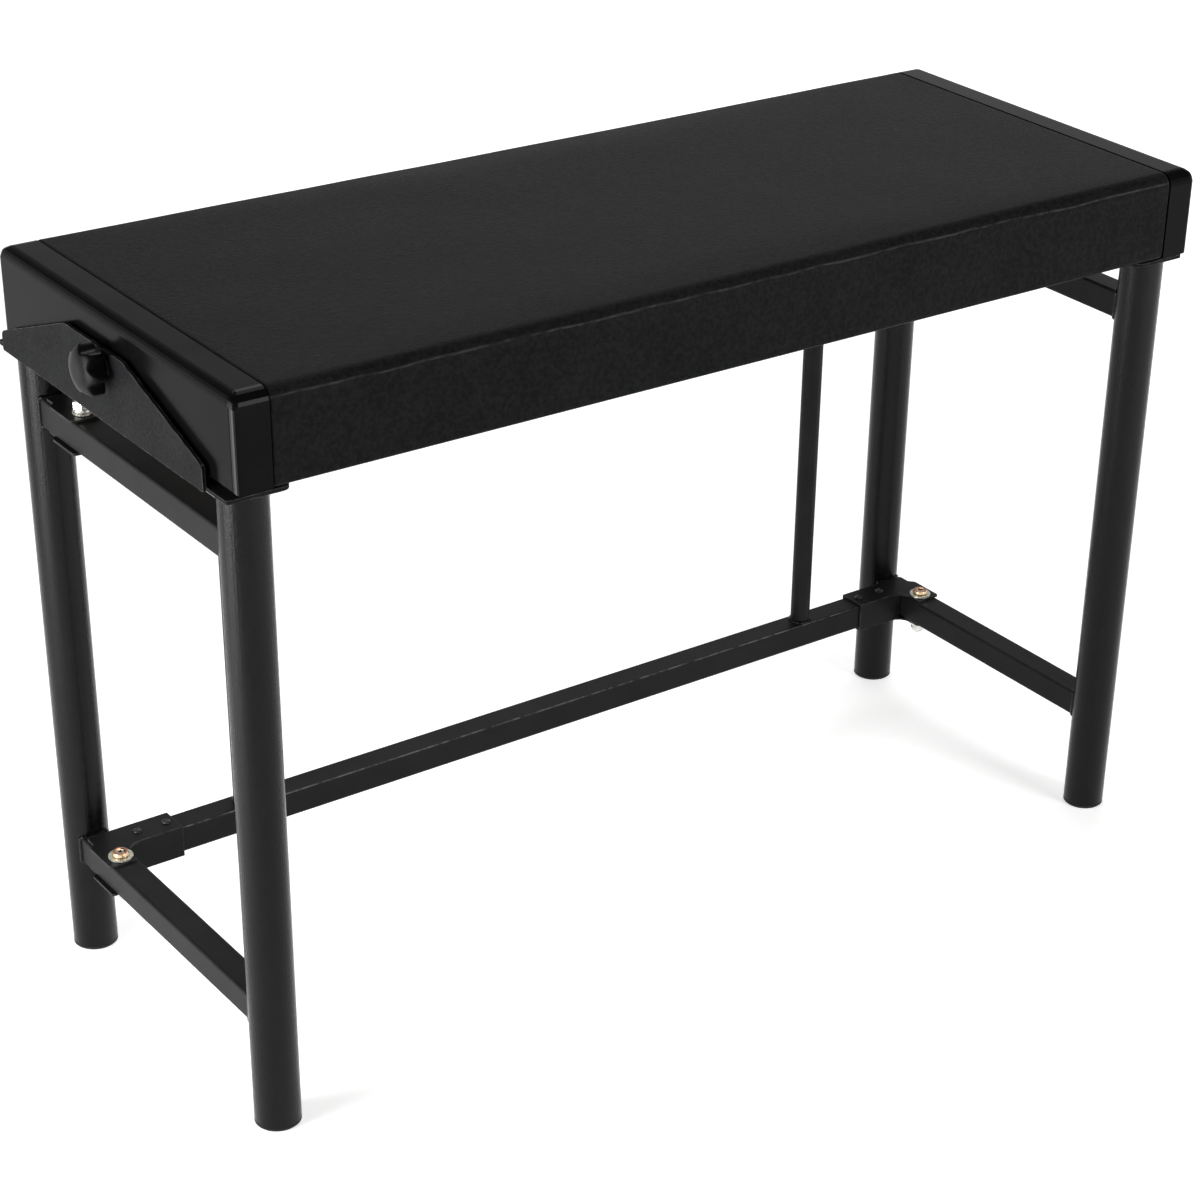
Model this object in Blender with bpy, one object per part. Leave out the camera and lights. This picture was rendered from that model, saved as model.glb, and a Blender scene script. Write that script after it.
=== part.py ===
"""A folding keyboard bench with a padded seat that lifts off its frame.

Units are metres and +Z is up. The front faces -Y, and the origin lies on the
floor under the middle of the whole bench.
"""

import math

import bmesh
import bpy
from mathutils import Vector

# Gaps that every piece shares
fit_gap = 0.0003
overrun = 0.004

# Legs and feet
leg_diameter = 0.030
leg_wall = 0.0015
leg_spacing_x = 0.705
leg_spacing_y = 0.252
leg_top_height = 0.4375
foot_flange = 0.0022
foot_stem = 0.018
foot_chamfer = 0.0006
leg_sides = 48

# Square tubes of the side frames and of the rear frame
bar_size = 0.0195
bar_wall = 0.0015
bar_corner = 0.0018
lower_bar_height = 0.0812
upper_bar_drop = 0.038

# Rear frame
crossbar_forward = 0.0288
rod_diameter = 0.015
rod_wall = 0.0012
rod_spacing = 0.494
rod_sides = 24

# Hinge brackets on the ends of both crossbars
pivot_forward = 0.0515
bracket_sheet = 0.0014
sleeve_inner_x = 0.3005
sleeve_outer_x = 0.3412
lobe_front = 0.0086
lobe_half_width = 0.008
lobe_bulge = 0.004
lobe_bulge_back = 0.0200
lobe_fillet = 0.011
lobe_corner = 0.002
bracket_screw_spacing = 0.0216
bracket_screw_inset = 0.0065

# Self-tapping screws on the brackets
screw_head_diameter = 0.0062
screw_head_height = 0.0018
screw_shank_diameter = 0.003
screw_shank_length = 0.008
screw_sides = 14

# Pivot bolts, nuts and washers
bolt_diameter = 0.006
bolt_head_diameter = 0.0115
bolt_head_height = 0.0036
bolt_head_crown_share = 0.55
bolt_socket_width = 0.004
bolt_socket_depth = 0.0022
bolt_tip = 0.0018
bolt_hole_diameter = 0.0068
pivot_washer_diameter = 0.0166
pivot_washer_thickness = 0.0012
nut_washer_diameter = 0.0125
spring_washer_diameter = 0.0112
spring_washer_thickness = 0.0016
spring_washer_split = 0.001
nut_width = 0.010
nut_hex_height = 0.0045
nut_collar_diameter = 0.0088
nut_collar_height = 0.0018
flange_diameter = 0.0142
flange_thickness = 0.0014
bolt_sides = 20

# Seat brackets: a shelf on the leg tops and an upright plate past the seat's end
bracket_plate = 0.0025
shelf_width = 0.042
shelf_overhang = 0.018
shelf_corner = 0.006
plate_gap = 0.0028
plate_thickness = 0.0022
plate_length = 0.254
plate_set_back = 0.0055
plate_front_height = 0.0158
plate_rear_height = 0.0125
plate_above_stud = 0.011
stud_rise = 0.036
plate_top_length = 0.073
plate_corner = 0.005
plate_shoulder = 0.008

# Seat
seat_length = 0.739
seat_depth = 0.290
seat_set_forward = 0.006
seat_thickness = 0.059
seat_edge = 0.009
cap_width = 0.0237
cap_wall = 0.003
cap_flange = 0.003
cap_end_edge = 0.007
cap_upright_edge = 0.0045
cap_bottom_edge = 0.0025
seam_gap = 0.0008
cushion_crown = 0.0012
cushion_side_pull = 0.0009
cushion_swell_power = 6
cushion_station_shares = (0.985, 0.97, 0.9, 0.7, 0.35)
seam_roll_start_share = 0.97
cushion_wrap = 0.004
cushion_lip = 0.026
seam_roll = 0.0016
board_thickness = 0.015
board_end_gap = 0.002
pad_thickness = 0.004
pad_length = 0.034
pad_width = 0.016
pad_inset = 0.030
pad_edge = 0.001

# Knobs, studs and clamp nuts that hold the seat
stud_diameter = 0.008
stud_hole_diameter = 0.0088
knob_radius = 0.016
knob_lobe_depth = 0.0035
knob_lobe_sharpness = 0.8
knob_lobes = 7
knob_lobe_turn = 0.175
knob_height = 0.0151
knob_dome = 0.005
knob_dome_power = 4
knob_dome_shares = (0.93, 0.8, 0.6, 0.35)
knob_collar_radius = 0.009
knob_collar_height = 0.002
knob_edge = 0.0008
knob_washer_diameter = 0.018
knob_washer_thickness = 0.0012
clamp_nut_width = 0.013
clamp_nut_height = 0.0065
clamp_gap = 0.0009
stud_tip = 0.002
stud_sides = 20

# Places worked out from the sizes above
leg_radius = leg_diameter / 2
bar_half = bar_size / 2
pivot_x = leg_spacing_x / 2
seat_half_depth = seat_depth / 2
front_reach = seat_half_depth + seat_set_forward
rear_reach = leg_spacing_y / 2 + shelf_overhang
middle_leg_y = (front_reach - rear_reach) / 2
front_leg_y = middle_leg_y - leg_spacing_y / 2
rear_leg_y = middle_leg_y + leg_spacing_y / 2
seat_y = middle_leg_y - seat_set_forward
pivot_y = rear_leg_y - pivot_forward
crossbar_y = rear_leg_y - crossbar_forward
sleeve_half = bar_half + fit_gap + bracket_sheet
shelf_bottom = leg_top_height
shelf_top = shelf_bottom + bracket_plate
seat_end_x = seat_length / 2
plate_inner_x = seat_end_x + plate_gap
plate_outer_x = plate_inner_x + plate_thickness
seam_x = seat_end_x - cap_width
seat_bottom = shelf_top + pad_thickness
seat_top = seat_bottom + seat_thickness
stud_height = shelf_bottom + stud_rise
upper_bar_height = leg_top_height - upper_bar_drop
bar_heights = {"lower": lower_bar_height, "upper": upper_bar_height}
sides_of_bench = {"left": -1, "right": 1}


def clear_scene():
    for item in list(bpy.data.objects):
        bpy.data.objects.remove(item, do_unlink=True)


def make_material(name, colour, roughness, metallic):
    material = bpy.data.materials.new(name)
    material.use_nodes = True
    shader = material.node_tree.nodes["Principled BSDF"]
    shader.inputs["Base Color"].default_value = (*colour, 1.0)
    shader.inputs["Roughness"].default_value = roughness
    shader.inputs["Metallic"].default_value = metallic
    material.diffuse_color = (*colour, 1.0)
    return material


def make_materials():
    return {
        "frame": make_material("powder_coated_steel", (0.022, 0.023, 0.023), 0.5, 0.0),
        "vinyl": make_material("black_vinyl", (0.016, 0.016, 0.017), 0.5, 0.0),
        "plastic": make_material("satin_black_plastic", (0.014, 0.014, 0.015), 0.35, 0.0),
        "rubber": make_material("black_rubber", (0.01, 0.01, 0.01), 0.8, 0.0),
        "zinc": make_material("zinc_plated_steel", (0.7, 0.69, 0.66), 0.3, 1.0),
        "brass": make_material("yellow_zinc_steel", (0.75, 0.6, 0.42), 0.32, 1.0),
        "screw": make_material("blackened_steel", (0.016, 0.016, 0.017), 0.35, 0.0),
        "plywood": make_material("plywood", (0.55, 0.4, 0.25), 0.7, 0.0),
    }


def make_object(name, mesh_maker, material=None):
    """Turn a filled bmesh into an object with outward faces."""
    bmesh.ops.recalc_face_normals(mesh_maker, faces=mesh_maker.faces)
    mesh = bpy.data.meshes.new(name)
    mesh_maker.to_mesh(mesh)
    mesh_maker.free()
    item = bpy.data.objects.new(name, mesh)
    bpy.context.scene.collection.objects.link(item)
    if material:
        mesh.materials.append(material)
    return item


def prism(name, outline, low, high, axis="Z", material=None):
    """Extrude an outline from low to high along an axis."""
    spots = {
        "X": lambda u, v, w: (w, u, v),
        "Y": lambda u, v, w: (u, w, v),
        "Z": lambda u, v, w: (u, v, w),
    }
    work = bmesh.new()
    corners = [work.verts.new(spots[axis](u, v, low)) for u, v in outline]
    face = work.faces.new(corners)
    extruded = bmesh.ops.extrude_face_region(work, geom=[face])
    moved = [part for part in extruded["geom"] if isinstance(part, bmesh.types.BMVert)]
    bmesh.ops.translate(work, verts=moved, vec=Vector(spots[axis](0, 0, high - low)))
    return make_object(name, work, material)


def turned(name, profile, sides, material=None):
    """Spin a profile of (radius, height) points about Z. It starts and ends on the axis."""
    work = bmesh.new()
    points = [work.verts.new((radius, 0, height)) for radius, height in profile]
    edges = [work.edges.new(pair) for pair in zip(points, points[1:])]
    bmesh.ops.spin(work, geom=points + edges, cent=(0, 0, 0), axis=(0, 0, 1),
                   angle=2 * math.pi, steps=sides, use_merge=False)
    bmesh.ops.remove_doubles(work, verts=work.verts, dist=fit_gap / 100)
    return make_object(name, work, material)


def rod(name, radius, low, high, sides, material=None):
    return turned(name, [(0, low), (radius, low), (radius, high), (0, high)], sides, material)


def box(name, low, high, material=None):
    outline = [(low[0], low[1]), (high[0], low[1]), (high[0], high[1]), (low[0], high[1])]
    return prism(name, outline, low[2], high[2], "Z", material)


def rounded(corners, steps=4):
    """Round an outline. Each corner is (u, v, radius)."""
    outline = []
    for index, (u, v, radius) in enumerate(corners):
        spot = Vector((u, v))
        before = Vector(corners[index - 1][:2]) - spot
        after = Vector(corners[(index + 1) % len(corners)][:2]) - spot
        if radius <= 0:
            outline.append((u, v))
            continue
        before.normalize()
        after.normalize()
        half_angle = before.angle(after) / 2
        centre = spot + (before + after).normalized() * radius / math.sin(half_angle)
        first = spot + before * radius / math.tan(half_angle) - centre
        last = spot + after * radius / math.tan(half_angle) - centre
        for step in range(steps + 1):
            share = step / steps
            spoke = first.slerp(last, share).normalized() * radius
            outline.append(tuple(centre + spoke))
    return outline


def rounded_box_outline(half_u, half_v, radius, steps=3):
    corners = [(-half_u, -half_v, radius), (half_u, -half_v, radius),
               (half_u, half_v, radius), (-half_u, half_v, radius)]
    return rounded(corners, steps)


def moved_outline(outline, shift_u, shift_v):
    return [(u + shift_u, v + shift_v) for u, v in outline]


def carve(body, tools, operation="DIFFERENCE"):
    """Apply Boolean tools to a body, then remove the tools."""
    for tool in tools:
        tool.hide_render = True
        tool.display_type = "WIRE"
        modifier = body.modifiers.new(tool.name, "BOOLEAN")
        modifier.operation = operation
        modifier.solver = "EXACT"
        modifier.object = tool
    bpy.context.view_layer.update()
    depsgraph = bpy.context.evaluated_depsgraph_get()
    mesh = bpy.data.meshes.new_from_object(body.evaluated_get(depsgraph))
    body.modifiers.clear()
    body.data = mesh
    for tool in tools:
        bpy.data.objects.remove(tool, do_unlink=True)
    return body


def finish_piece(item, name, location, parent=None, smooth_angle=0.6):
    """Name a piece, shade it and set it at a world location under its parent."""
    item.name = name
    item.data.shade_smooth()
    item.data.set_sharp_from_angle(angle=smooth_angle)
    item.parent = parent
    base = parent.location if parent else Vector()
    item.location = Vector(location) - base
    return item


def make_axis(name, location):
    axis = bpy.data.objects.new(name, None)
    axis.location = location
    bpy.context.scene.collection.objects.link(axis)
    return axis


def square_tube(name, low, high, axis, material):
    outer = rounded_box_outline(bar_half, bar_half, bar_corner)
    bore_half = bar_half - bar_wall
    inner = rounded_box_outline(bore_half, bore_half, bar_corner - bar_wall)
    tube = prism(name, outer, low, high, axis, material)
    bore = prism("bore", inner, low - overrun, high + overrun, axis)
    return carve(tube, [bore])


def round_tube(name, diameter, wall, low, high, sides, material):
    tube = rod(name, diameter / 2, low, high, sides, material)
    bore = rod("bore", diameter / 2 - wall, low - overrun, high + overrun, sides)
    return carve(tube, [bore])


def make_leg(side, end, parent, materials):
    sign = sides_of_bench[side]
    leg_y = front_leg_y if end == "front" else rear_leg_y
    low = foot_flange + fit_gap
    leg = round_tube("leg", leg_diameter, leg_wall, low, leg_top_height - fit_gap,
                     leg_sides, materials["frame"])
    finish_piece(leg, f"{side}_{end}_leg", (sign * pivot_x, leg_y, 0), parent)
    stem_radius = leg_radius - leg_wall - fit_gap
    profile = [
        (0, 0), (leg_radius - foot_chamfer, 0), (leg_radius, foot_chamfer),
        (leg_radius, foot_flange), (stem_radius, foot_flange),
        (stem_radius, foot_stem), (0, foot_stem),
    ]
    foot = turned("foot", profile, leg_sides, materials["rubber"])
    finish_piece(foot, f"{side}_{end}_foot", (sign * pivot_x, leg_y, 0), parent)


def make_side_rail(side, level, parent, materials):
    """A square tube between the legs, coped round them and drilled for the pivot bolt."""
    rail = square_tube("rail", front_leg_y, rear_leg_y, "Y", materials["frame"])
    tools = []
    for leg_y in (front_leg_y, rear_leg_y):
        cope = rod("cope", leg_radius + fit_gap, -bar_size, bar_size, leg_sides)
        cope.location = (0, leg_y, 0)
        tools.append(cope)
    hole = rod("hole", bolt_hole_diameter / 2, -bar_size, bar_size, bolt_sides)
    hole.location = (0, pivot_y, 0)
    carve(rail, tools + [hole])
    centre = (sides_of_bench[side] * pivot_x, 0, bar_heights[level])
    finish_piece(rail, f"{side}_{level}_rail", centre, parent)


def make_seat_bracket(side, parent, materials):
    """The shelf that the seat rests on, with the upright plate for the knob."""
    sign = sides_of_bench[side]
    shelf_outer = plate_inner_x
    shelf_inner = plate_outer_x - shelf_width - plate_thickness
    front = front_leg_y - shelf_overhang
    rear = rear_leg_y + shelf_overhang
    outline = rounded([
        (sign * shelf_outer, front, shelf_corner / 3), (sign * shelf_inner, front, shelf_corner),
        (sign * shelf_inner, rear, shelf_corner), (sign * shelf_outer, rear, shelf_corner / 3),
    ])
    shelf = prism("shelf", outline, shelf_bottom, shelf_top, "Z", materials["frame"])
    middle = middle_leg_y + plate_set_back
    half = plate_length / 2
    top_half = plate_top_length / 2
    front_top = shelf_bottom + plate_front_height
    rear_top = shelf_bottom + plate_rear_height
    top = stud_height + plate_above_stud
    plate_outline = rounded([
        (middle - half, shelf_bottom, plate_corner / 5), (middle + half, shelf_bottom, plate_corner / 5),
        (middle + half, rear_top, plate_corner), (middle + top_half, top, plate_shoulder),
        (middle - top_half, top, plate_shoulder), (middle - half, front_top, plate_corner),
    ])
    near, far = sorted((sign * (plate_inner_x - plate_thickness / 4), sign * plate_outer_x))
    near_flat, far_flat = sorted((sign * plate_inner_x, sign * plate_outer_x))
    plate = prism("plate", plate_outline, near_flat, far_flat, "X")
    foot_outline = [
        (middle - half + plate_corner, shelf_bottom), (middle + half - plate_corner, shelf_bottom),
        (middle + half - plate_corner, shelf_top), (middle - half + plate_corner, shelf_top),
    ]
    root = prism("root", foot_outline, near, far, "X")
    carve(shelf, [plate, root], "UNION")
    hole = rod("hole", stud_hole_diameter / 2, -plate_thickness * 2, plate_thickness * 2, stud_sides)
    hole.rotation_euler = (0, math.pi / 2, 0)
    hole.location = (sign * plate_outer_x, seat_y, stud_height)
    carve(shelf, [hole])
    finish_piece(shelf, f"{side}_seat_bracket", (0, 0, 0), None)
    set_parent_in_place(shelf, parent)


def set_parent_in_place(item, parent):
    item.parent = parent
    item.location = -parent.location


def make_crossbar(level, materials):
    half = sleeve_outer_x - bracket_sheet
    bar = square_tube("bar", -half, half, "X", materials["frame"])
    tools = []
    for sign in sides_of_bench.values():
        for spot in bracket_screw_spots():
            hole = rod("hole", screw_shank_diameter / 2 + fit_gap, 0, bar_size, screw_sides)
            hole.location = (sign * spot, 0, 0)
            tools.append(hole)
    carve(bar, tools)
    finish_piece(bar, f"{level}_crossbar", (0, crossbar_y, bar_heights[level]))


def bracket_screw_spots():
    first = sleeve_inner_x + bracket_screw_inset
    return first, first + bracket_screw_spacing


def make_rod(side, materials):
    low = lower_bar_height + bar_half + fit_gap
    high = upper_bar_height - bar_half - fit_gap
    upright = round_tube("rod", rod_diameter, rod_wall, low, high, rod_sides, materials["frame"])
    place = (sides_of_bench[side] * rod_spacing / 2, crossbar_y, 0)
    finish_piece(upright, f"{side}_upright", place)


def make_hinge_bracket(side, level, materials):
    """A sleeve round the crossbar's end whose top and bottom run out as hinge lobes."""
    sign = sides_of_bench[side]
    sleeve_front = crossbar_y - sleeve_half
    sleeve_back = crossbar_y + sleeve_half
    lobe_outer = pivot_x + lobe_half_width
    bulge_outer = lobe_outer + lobe_bulge
    lobe_inner = pivot_x - lobe_half_width
    front = pivot_y - lobe_front
    bulge_back = pivot_y + lobe_bulge_back
    corners = [
        (sleeve_inner_x, sleeve_front, 0), (lobe_inner, sleeve_front, lobe_fillet),
        (lobe_inner, front, lobe_corner), (bulge_outer, front, lobe_corner),
        (bulge_outer, bulge_back, lobe_corner), (lobe_outer, bulge_back + lobe_bulge, lobe_corner / 2),
        (lobe_outer, sleeve_back, lobe_corner), (sleeve_inner_x, sleeve_back, 0),
    ]
    outline = rounded([(sign * u, v, radius) for u, v, radius in corners])
    bracket = prism("bracket", outline, -sleeve_half, sleeve_half, "Z", materials["frame"])
    clear = bar_half + fit_gap
    far = bulge_outer + overrun
    tools = []
    for low, high in (
        ((sleeve_inner_x - overrun, crossbar_y - clear), (far, crossbar_y + clear)),
        ((sleeve_outer_x, front - overrun), (far, sleeve_back + overrun)),
        ((sleeve_inner_x - overrun, front - overrun), (far, sleeve_front)),
    ):
        xs = sorted((sign * low[0], sign * high[0]))
        tools.append(box("slot", (xs[0], low[1], -clear), (xs[1], high[1], clear)))
    hole = rod("hole", bolt_hole_diameter / 2, -bar_size, bar_size, bolt_sides)
    hole.location = (sign * pivot_x, pivot_y, 0)
    tools.append(hole)
    for spot in bracket_screw_spots():
        hole = rod("hole", screw_shank_diameter / 2 + fit_gap, 0, bar_size, screw_sides)
        hole.location = (sign * spot, crossbar_y, 0)
        tools.append(hole)
    for tool in tools:
        carve(bracket, [tool])
    finish_piece(bracket, f"{side}_{level}_hinge_bracket", (0, 0, bar_heights[level]))


def make_bracket_screws(side, level, materials):
    """Pan-head self-tapping screws that fix the sleeve to the crossbar."""
    seat = sleeve_half + fit_gap
    shank = screw_shank_diameter / 2
    head = screw_head_diameter / 2
    profile = [
        (0, seat - screw_shank_length), (shank / 2, seat - screw_shank_length),
        (shank, seat - screw_shank_length + shank), (shank, seat), (head, seat),
        (head, seat + screw_head_height / 2), (head / 2, seat + screw_head_height),
        (0, seat + screw_head_height),
    ]
    sign = sides_of_bench[side]
    for spot, tag in zip(bracket_screw_spots(), ("inner", "outer")):
        screw = turned("screw", profile, screw_sides, materials["screw"])
        place = (sign * spot, crossbar_y, bar_heights[level])
        finish_piece(screw, f"{side}_{level}_bracket_screw_{tag}", place)


def hexagon(width):
    radius = width / 2 / math.cos(math.pi / 6)
    return [(radius * math.cos(math.pi / 3 * turn), radius * math.sin(math.pi / 3 * turn))
            for turn in range(6)]


def make_bolt(side, level, materials):
    """A button-head bolt: head up at the lower hinge, head down at the upper one."""
    under_head = sleeve_half + fit_gap
    if level == "lower":
        under_head += pivot_washer_thickness + fit_gap
    stack = fit_gap + nut_hex_height + nut_collar_height
    if level == "lower":
        stack += flange_thickness
    else:
        stack += pivot_washer_thickness + spring_washer_thickness + 2 * fit_gap
    tip = -(sleeve_half + stack + bolt_tip)
    shank = bolt_diameter / 2
    head = bolt_head_diameter / 2
    crown = under_head + bolt_head_height
    rim = under_head + bolt_head_height * (1 - bolt_head_crown_share)
    profile = [(0, tip), (shank - bolt_tip / 3, tip), (shank, tip + bolt_tip / 3),
               (shank, under_head), (head, under_head), (head, rim)]
    for step in (1, 2):
        turn = math.pi / 6 * step
        profile.append((head / 2 + head / 2 * math.cos(turn), rim + (crown - rim) * math.sin(turn)))
    profile += [(head / 2, crown), (0, crown)]
    bolt = turned("bolt", profile, bolt_sides, materials["brass" if level == "lower" else "zinc"])
    socket = prism("socket", hexagon(bolt_socket_width), crown - bolt_socket_depth, crown + overrun)
    carve(bolt, [socket])
    if level == "upper":
        flange = rod("flange", flange_diameter / 2, under_head, under_head + flange_thickness, bolt_sides)
        carve(bolt, [flange], "UNION")
        bolt.rotation_euler = (math.pi, 0, 0)
    place = (sides_of_bench[side] * pivot_x, pivot_y, bar_heights[level])
    finish_piece(bolt, f"{side}_{level}_pivot_bolt", place)


def make_washer(name, outer, inner, thickness, low, place, material, split=0, parent=None):
    ring = rod("ring", outer / 2, low, low + thickness, bolt_sides, material)
    bore = rod("bore", inner / 2, low - overrun, low + thickness + overrun, bolt_sides)
    carve(ring, [bore])
    if split:
        gap = box("gap", (0, -split / 2, low - overrun), (outer, split / 2, low + thickness + overrun))
        carve(ring, [gap])
    return finish_piece(ring, name, place, parent)


def make_pivot_hardware(side, level, materials):
    place = (sides_of_bench[side] * pivot_x, pivot_y, bar_heights[level])
    bore = bolt_diameter + 2 * fit_gap
    low = sleeve_half + fit_gap
    if level == "lower":
        make_washer(f"{side}_{level}_pivot_washer", pivot_washer_diameter, bore,
                    pivot_washer_thickness, low, place, materials["zinc"])
        make_lock_nut(side, level, sleeve_half + fit_gap, place, materials)
        return
    make_washer(f"{side}_{level}_pivot_washer", nut_washer_diameter, bore,
                pivot_washer_thickness, low, place, materials["zinc"])
    low += pivot_washer_thickness + fit_gap
    make_washer(f"{side}_{level}_spring_washer", spring_washer_diameter, bore,
                spring_washer_thickness, low, place, materials["zinc"], spring_washer_split)
    low += spring_washer_thickness + fit_gap
    make_lock_nut(side, level, low, place, materials)


def make_lock_nut(side, level, low, place, materials):
    """A hexagon nut with the round collar of its locking insert, and a flange below the frame."""
    if level == "lower":
        low += flange_thickness
    hex_high = low + nut_hex_height
    top = hex_high + nut_collar_height
    nut = prism("nut", hexagon(nut_width), low, hex_high, "Z", materials["zinc"])
    joined = [rod("collar", nut_collar_diameter / 2, hex_high - nut_collar_height, top, bolt_sides)]
    if level == "lower":
        joined.append(rod("flange", flange_diameter / 2, low - flange_thickness,
                          low + nut_collar_height / 4, bolt_sides))
    carve(nut, joined, "UNION")
    bore = rod("bore", bolt_diameter / 2 + fit_gap, low - overrun, top + overrun, bolt_sides)
    carve(nut, [bore])
    if level == "lower":
        nut.rotation_euler = (math.pi, 0, 0)
    finish_piece(nut, f"{side}_{level}_lock_nut", place)


def cushion_section(share):
    """The cushion's outline across the bench. Share runs from 0 at the middle to 1 at the seam."""
    swell = 1 - share ** cushion_swell_power
    roll_share = (share - seam_roll_start_share) / (1 - seam_roll_start_share)
    roll = seam_roll * max(0, roll_share) ** 2
    half = seat_half_depth - roll
    top = seat_top - roll
    outline = []
    steps = 6
    for sign in (-1, 1):
        arc = []
        for step in range(steps + 1):
            turn = math.pi / 2 * step / steps
            arc.append((sign * (half - seat_edge + seat_edge * math.cos(turn)),
                        top - seat_edge + seat_edge * math.sin(turn)))
        outline += arc if sign < 0 else arc[::-1]
    spread = 5
    left, right = outline[steps], outline[steps + 1]
    crown = []
    for step in range(1, spread):
        place = step / spread
        height = cushion_crown * swell * math.sin(math.pi * place)
        crown.append((left[0] + (right[0] - left[0]) * place, top + height))
    outline = outline[:steps + 1] + crown + outline[steps + 1:]
    bottom = seat_bottom + roll
    pulled = half - cushion_side_pull * swell
    waist = (bottom + top) / 2
    board_top = seat_bottom + cap_flange + board_thickness + 2 * fit_gap
    lip_top = seat_bottom + cap_flange - fit_gap
    wall = seat_half_depth - cushion_wrap
    lip = seat_half_depth - cushion_lip
    outline += [(pulled, waist), (half, bottom), (lip, bottom), (lip, lip_top), (wall, lip_top),
                (wall, board_top), (-wall, board_top), (-wall, lip_top), (-lip, lip_top),
                (-lip, bottom), (-half, bottom), (-pulled, waist)]
    return outline


def make_cushion(parent, materials):
    """Foam under vinyl: a crowned top, rolled edges and lips turned under the board."""
    half_length = seam_x - seam_gap / 2
    inner_shares = list(cushion_station_shares)
    shares = [-1] + [-share for share in inner_shares] + [0] + inner_shares[::-1] + [1]
    work = bmesh.new()
    loops = []
    for share in shares:
        outline = cushion_section(abs(share))
        loops.append([work.verts.new((share * half_length, u, v)) for u, v in outline])
    for first, second in zip(loops, loops[1:]):
        for index in range(len(first)):
            after = (index + 1) % len(first)
            work.faces.new((first[index], first[after], second[after], second[index]))
    work.faces.new(loops[0])
    work.faces.new(loops[-1])
    cushion = make_object("cushion", work, materials["vinyl"])
    finish_piece(cushion, "seat_cushion", (0, seat_y, 0), parent)


def make_seat_board(parent, materials):
    """The plywood base under the foam, notched at both ends for the clamp nuts."""
    half_length = seat_end_x - cap_wall - board_end_gap
    half_depth = seat_half_depth - cushion_wrap - fit_gap
    low = seat_bottom + cap_flange + fit_gap
    board = box("board", (-half_length, -half_depth, low),
                (half_length, half_depth, low + board_thickness), materials["plywood"])
    notch_depth = clamp_nut_height + stud_tip + clamp_gap * 4
    half_notch = clamp_nut_width
    tools = []
    for sign in sides_of_bench.values():
        xs = sorted((sign * (seat_end_x - cap_wall - notch_depth), sign * seat_end_x))
        tools.append(box("notch", (xs[0], -half_notch, low - overrun),
                         (xs[1], half_notch, low + board_thickness + overrun)))
    carve(board, tools)
    finish_piece(board, "seat_board", (0, seat_y, 0), parent)


def make_end_cap(side, parent, materials):
    """A moulded end cover: end wall, top, front and back walls and a flange below."""
    sign = sides_of_bench[side]
    inner_x = seam_x + seam_gap / 2
    xs = sorted((sign * inner_x, sign * seat_end_x))
    cap = box("cap", (xs[0], -seat_half_depth, seat_bottom),
              (xs[1], seat_half_depth, seat_top), materials["plastic"])
    round_edges(cap, cap_edge_radius, sign * seat_end_x)
    roof = seat_top - cap_wall
    xs = sorted((sign * (inner_x - overrun), sign * (seat_end_x - cap_wall)))
    hollow = box("hollow", (xs[0], -seat_half_depth + cap_wall, seat_bottom + cap_flange),
                 (xs[1], seat_half_depth - cap_wall, roof))
    round_edges(hollow, hollow_edge_radius, sign * seat_end_x)
    half_slot = stud_hole_diameter / 2
    slot_outline = [(-half_slot, seat_bottom - overrun), (half_slot, seat_bottom - overrun)]
    for step in range(9):
        turn = math.pi * step / 8
        slot_outline.append((half_slot * math.cos(turn), stud_height + half_slot * math.sin(turn)))
    xs = sorted((sign * (inner_x - overrun), sign * (seat_end_x + overrun)))
    slot = prism("slot", slot_outline, xs[0], xs[1], "X")
    half_pocket = clamp_nut_width / 2 / math.cos(math.pi / 6) + clamp_gap
    xs = sorted((sign * (inner_x - overrun), sign * (seat_end_x - cap_wall)))
    pocket = box("pocket", (xs[0], -half_pocket, seat_bottom - overrun),
                 (xs[1], half_pocket, seat_bottom + cap_flange + overrun))
    for tool in (hollow, slot, pocket):
        carve(cap, [tool])
    finish_piece(cap, f"{side}_end_cap", (0, seat_y, 0), parent)


def cap_edge_radius(spot, end):
    """The radius of a cap's outside edge whose middle is at spot."""
    tiny = fit_gap / 10
    at_end = abs(spot.x - end) < tiny
    at_side = abs(abs(spot.y) - seat_half_depth) < tiny
    at_top = abs(spot.z - seat_top) < tiny
    at_bottom = abs(spot.z - seat_bottom) < tiny
    if at_end and at_side:
        return cap_upright_edge
    if at_top and at_side:
        return seat_edge
    if at_top and at_end:
        return cap_end_edge
    if at_bottom and at_end:
        return cap_bottom_edge
    return 0


def hollow_edge_radius(spot, end):
    """The radius of an edge of a cap's hollow: its long top edges keep the wall even."""
    tiny = fit_gap / 10
    at_end = abs(spot.x - end) < tiny
    at_side = abs(abs(spot.y) - seat_half_depth + cap_wall) < tiny
    at_top = abs(spot.z - seat_top + cap_wall) < tiny
    if at_top and at_side and not at_end:
        return seat_edge - cap_wall
    return 0


def round_edges(block, radius_at, end, segments=6):
    """Round all of a box's edges at once, each by the radius that radius_at gives for its middle."""
    work = bmesh.new()
    work.from_mesh(block.data)
    weights = work.edges.layers.float.new("bevel_weight_edge")
    radii = [radius_at((edge.verts[0].co + edge.verts[1].co) / 2, end) for edge in work.edges]
    largest = max(radii)
    for edge, radius in zip(work.edges, radii):
        edge[weights] = radius / largest
    work.to_mesh(block.data)
    work.free()
    rounding = block.modifiers.new("rounding", "BEVEL")
    rounding.limit_method = "WEIGHT"
    rounding.width = largest
    rounding.segments = segments
    rounding.use_clamp_overlap = False


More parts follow.
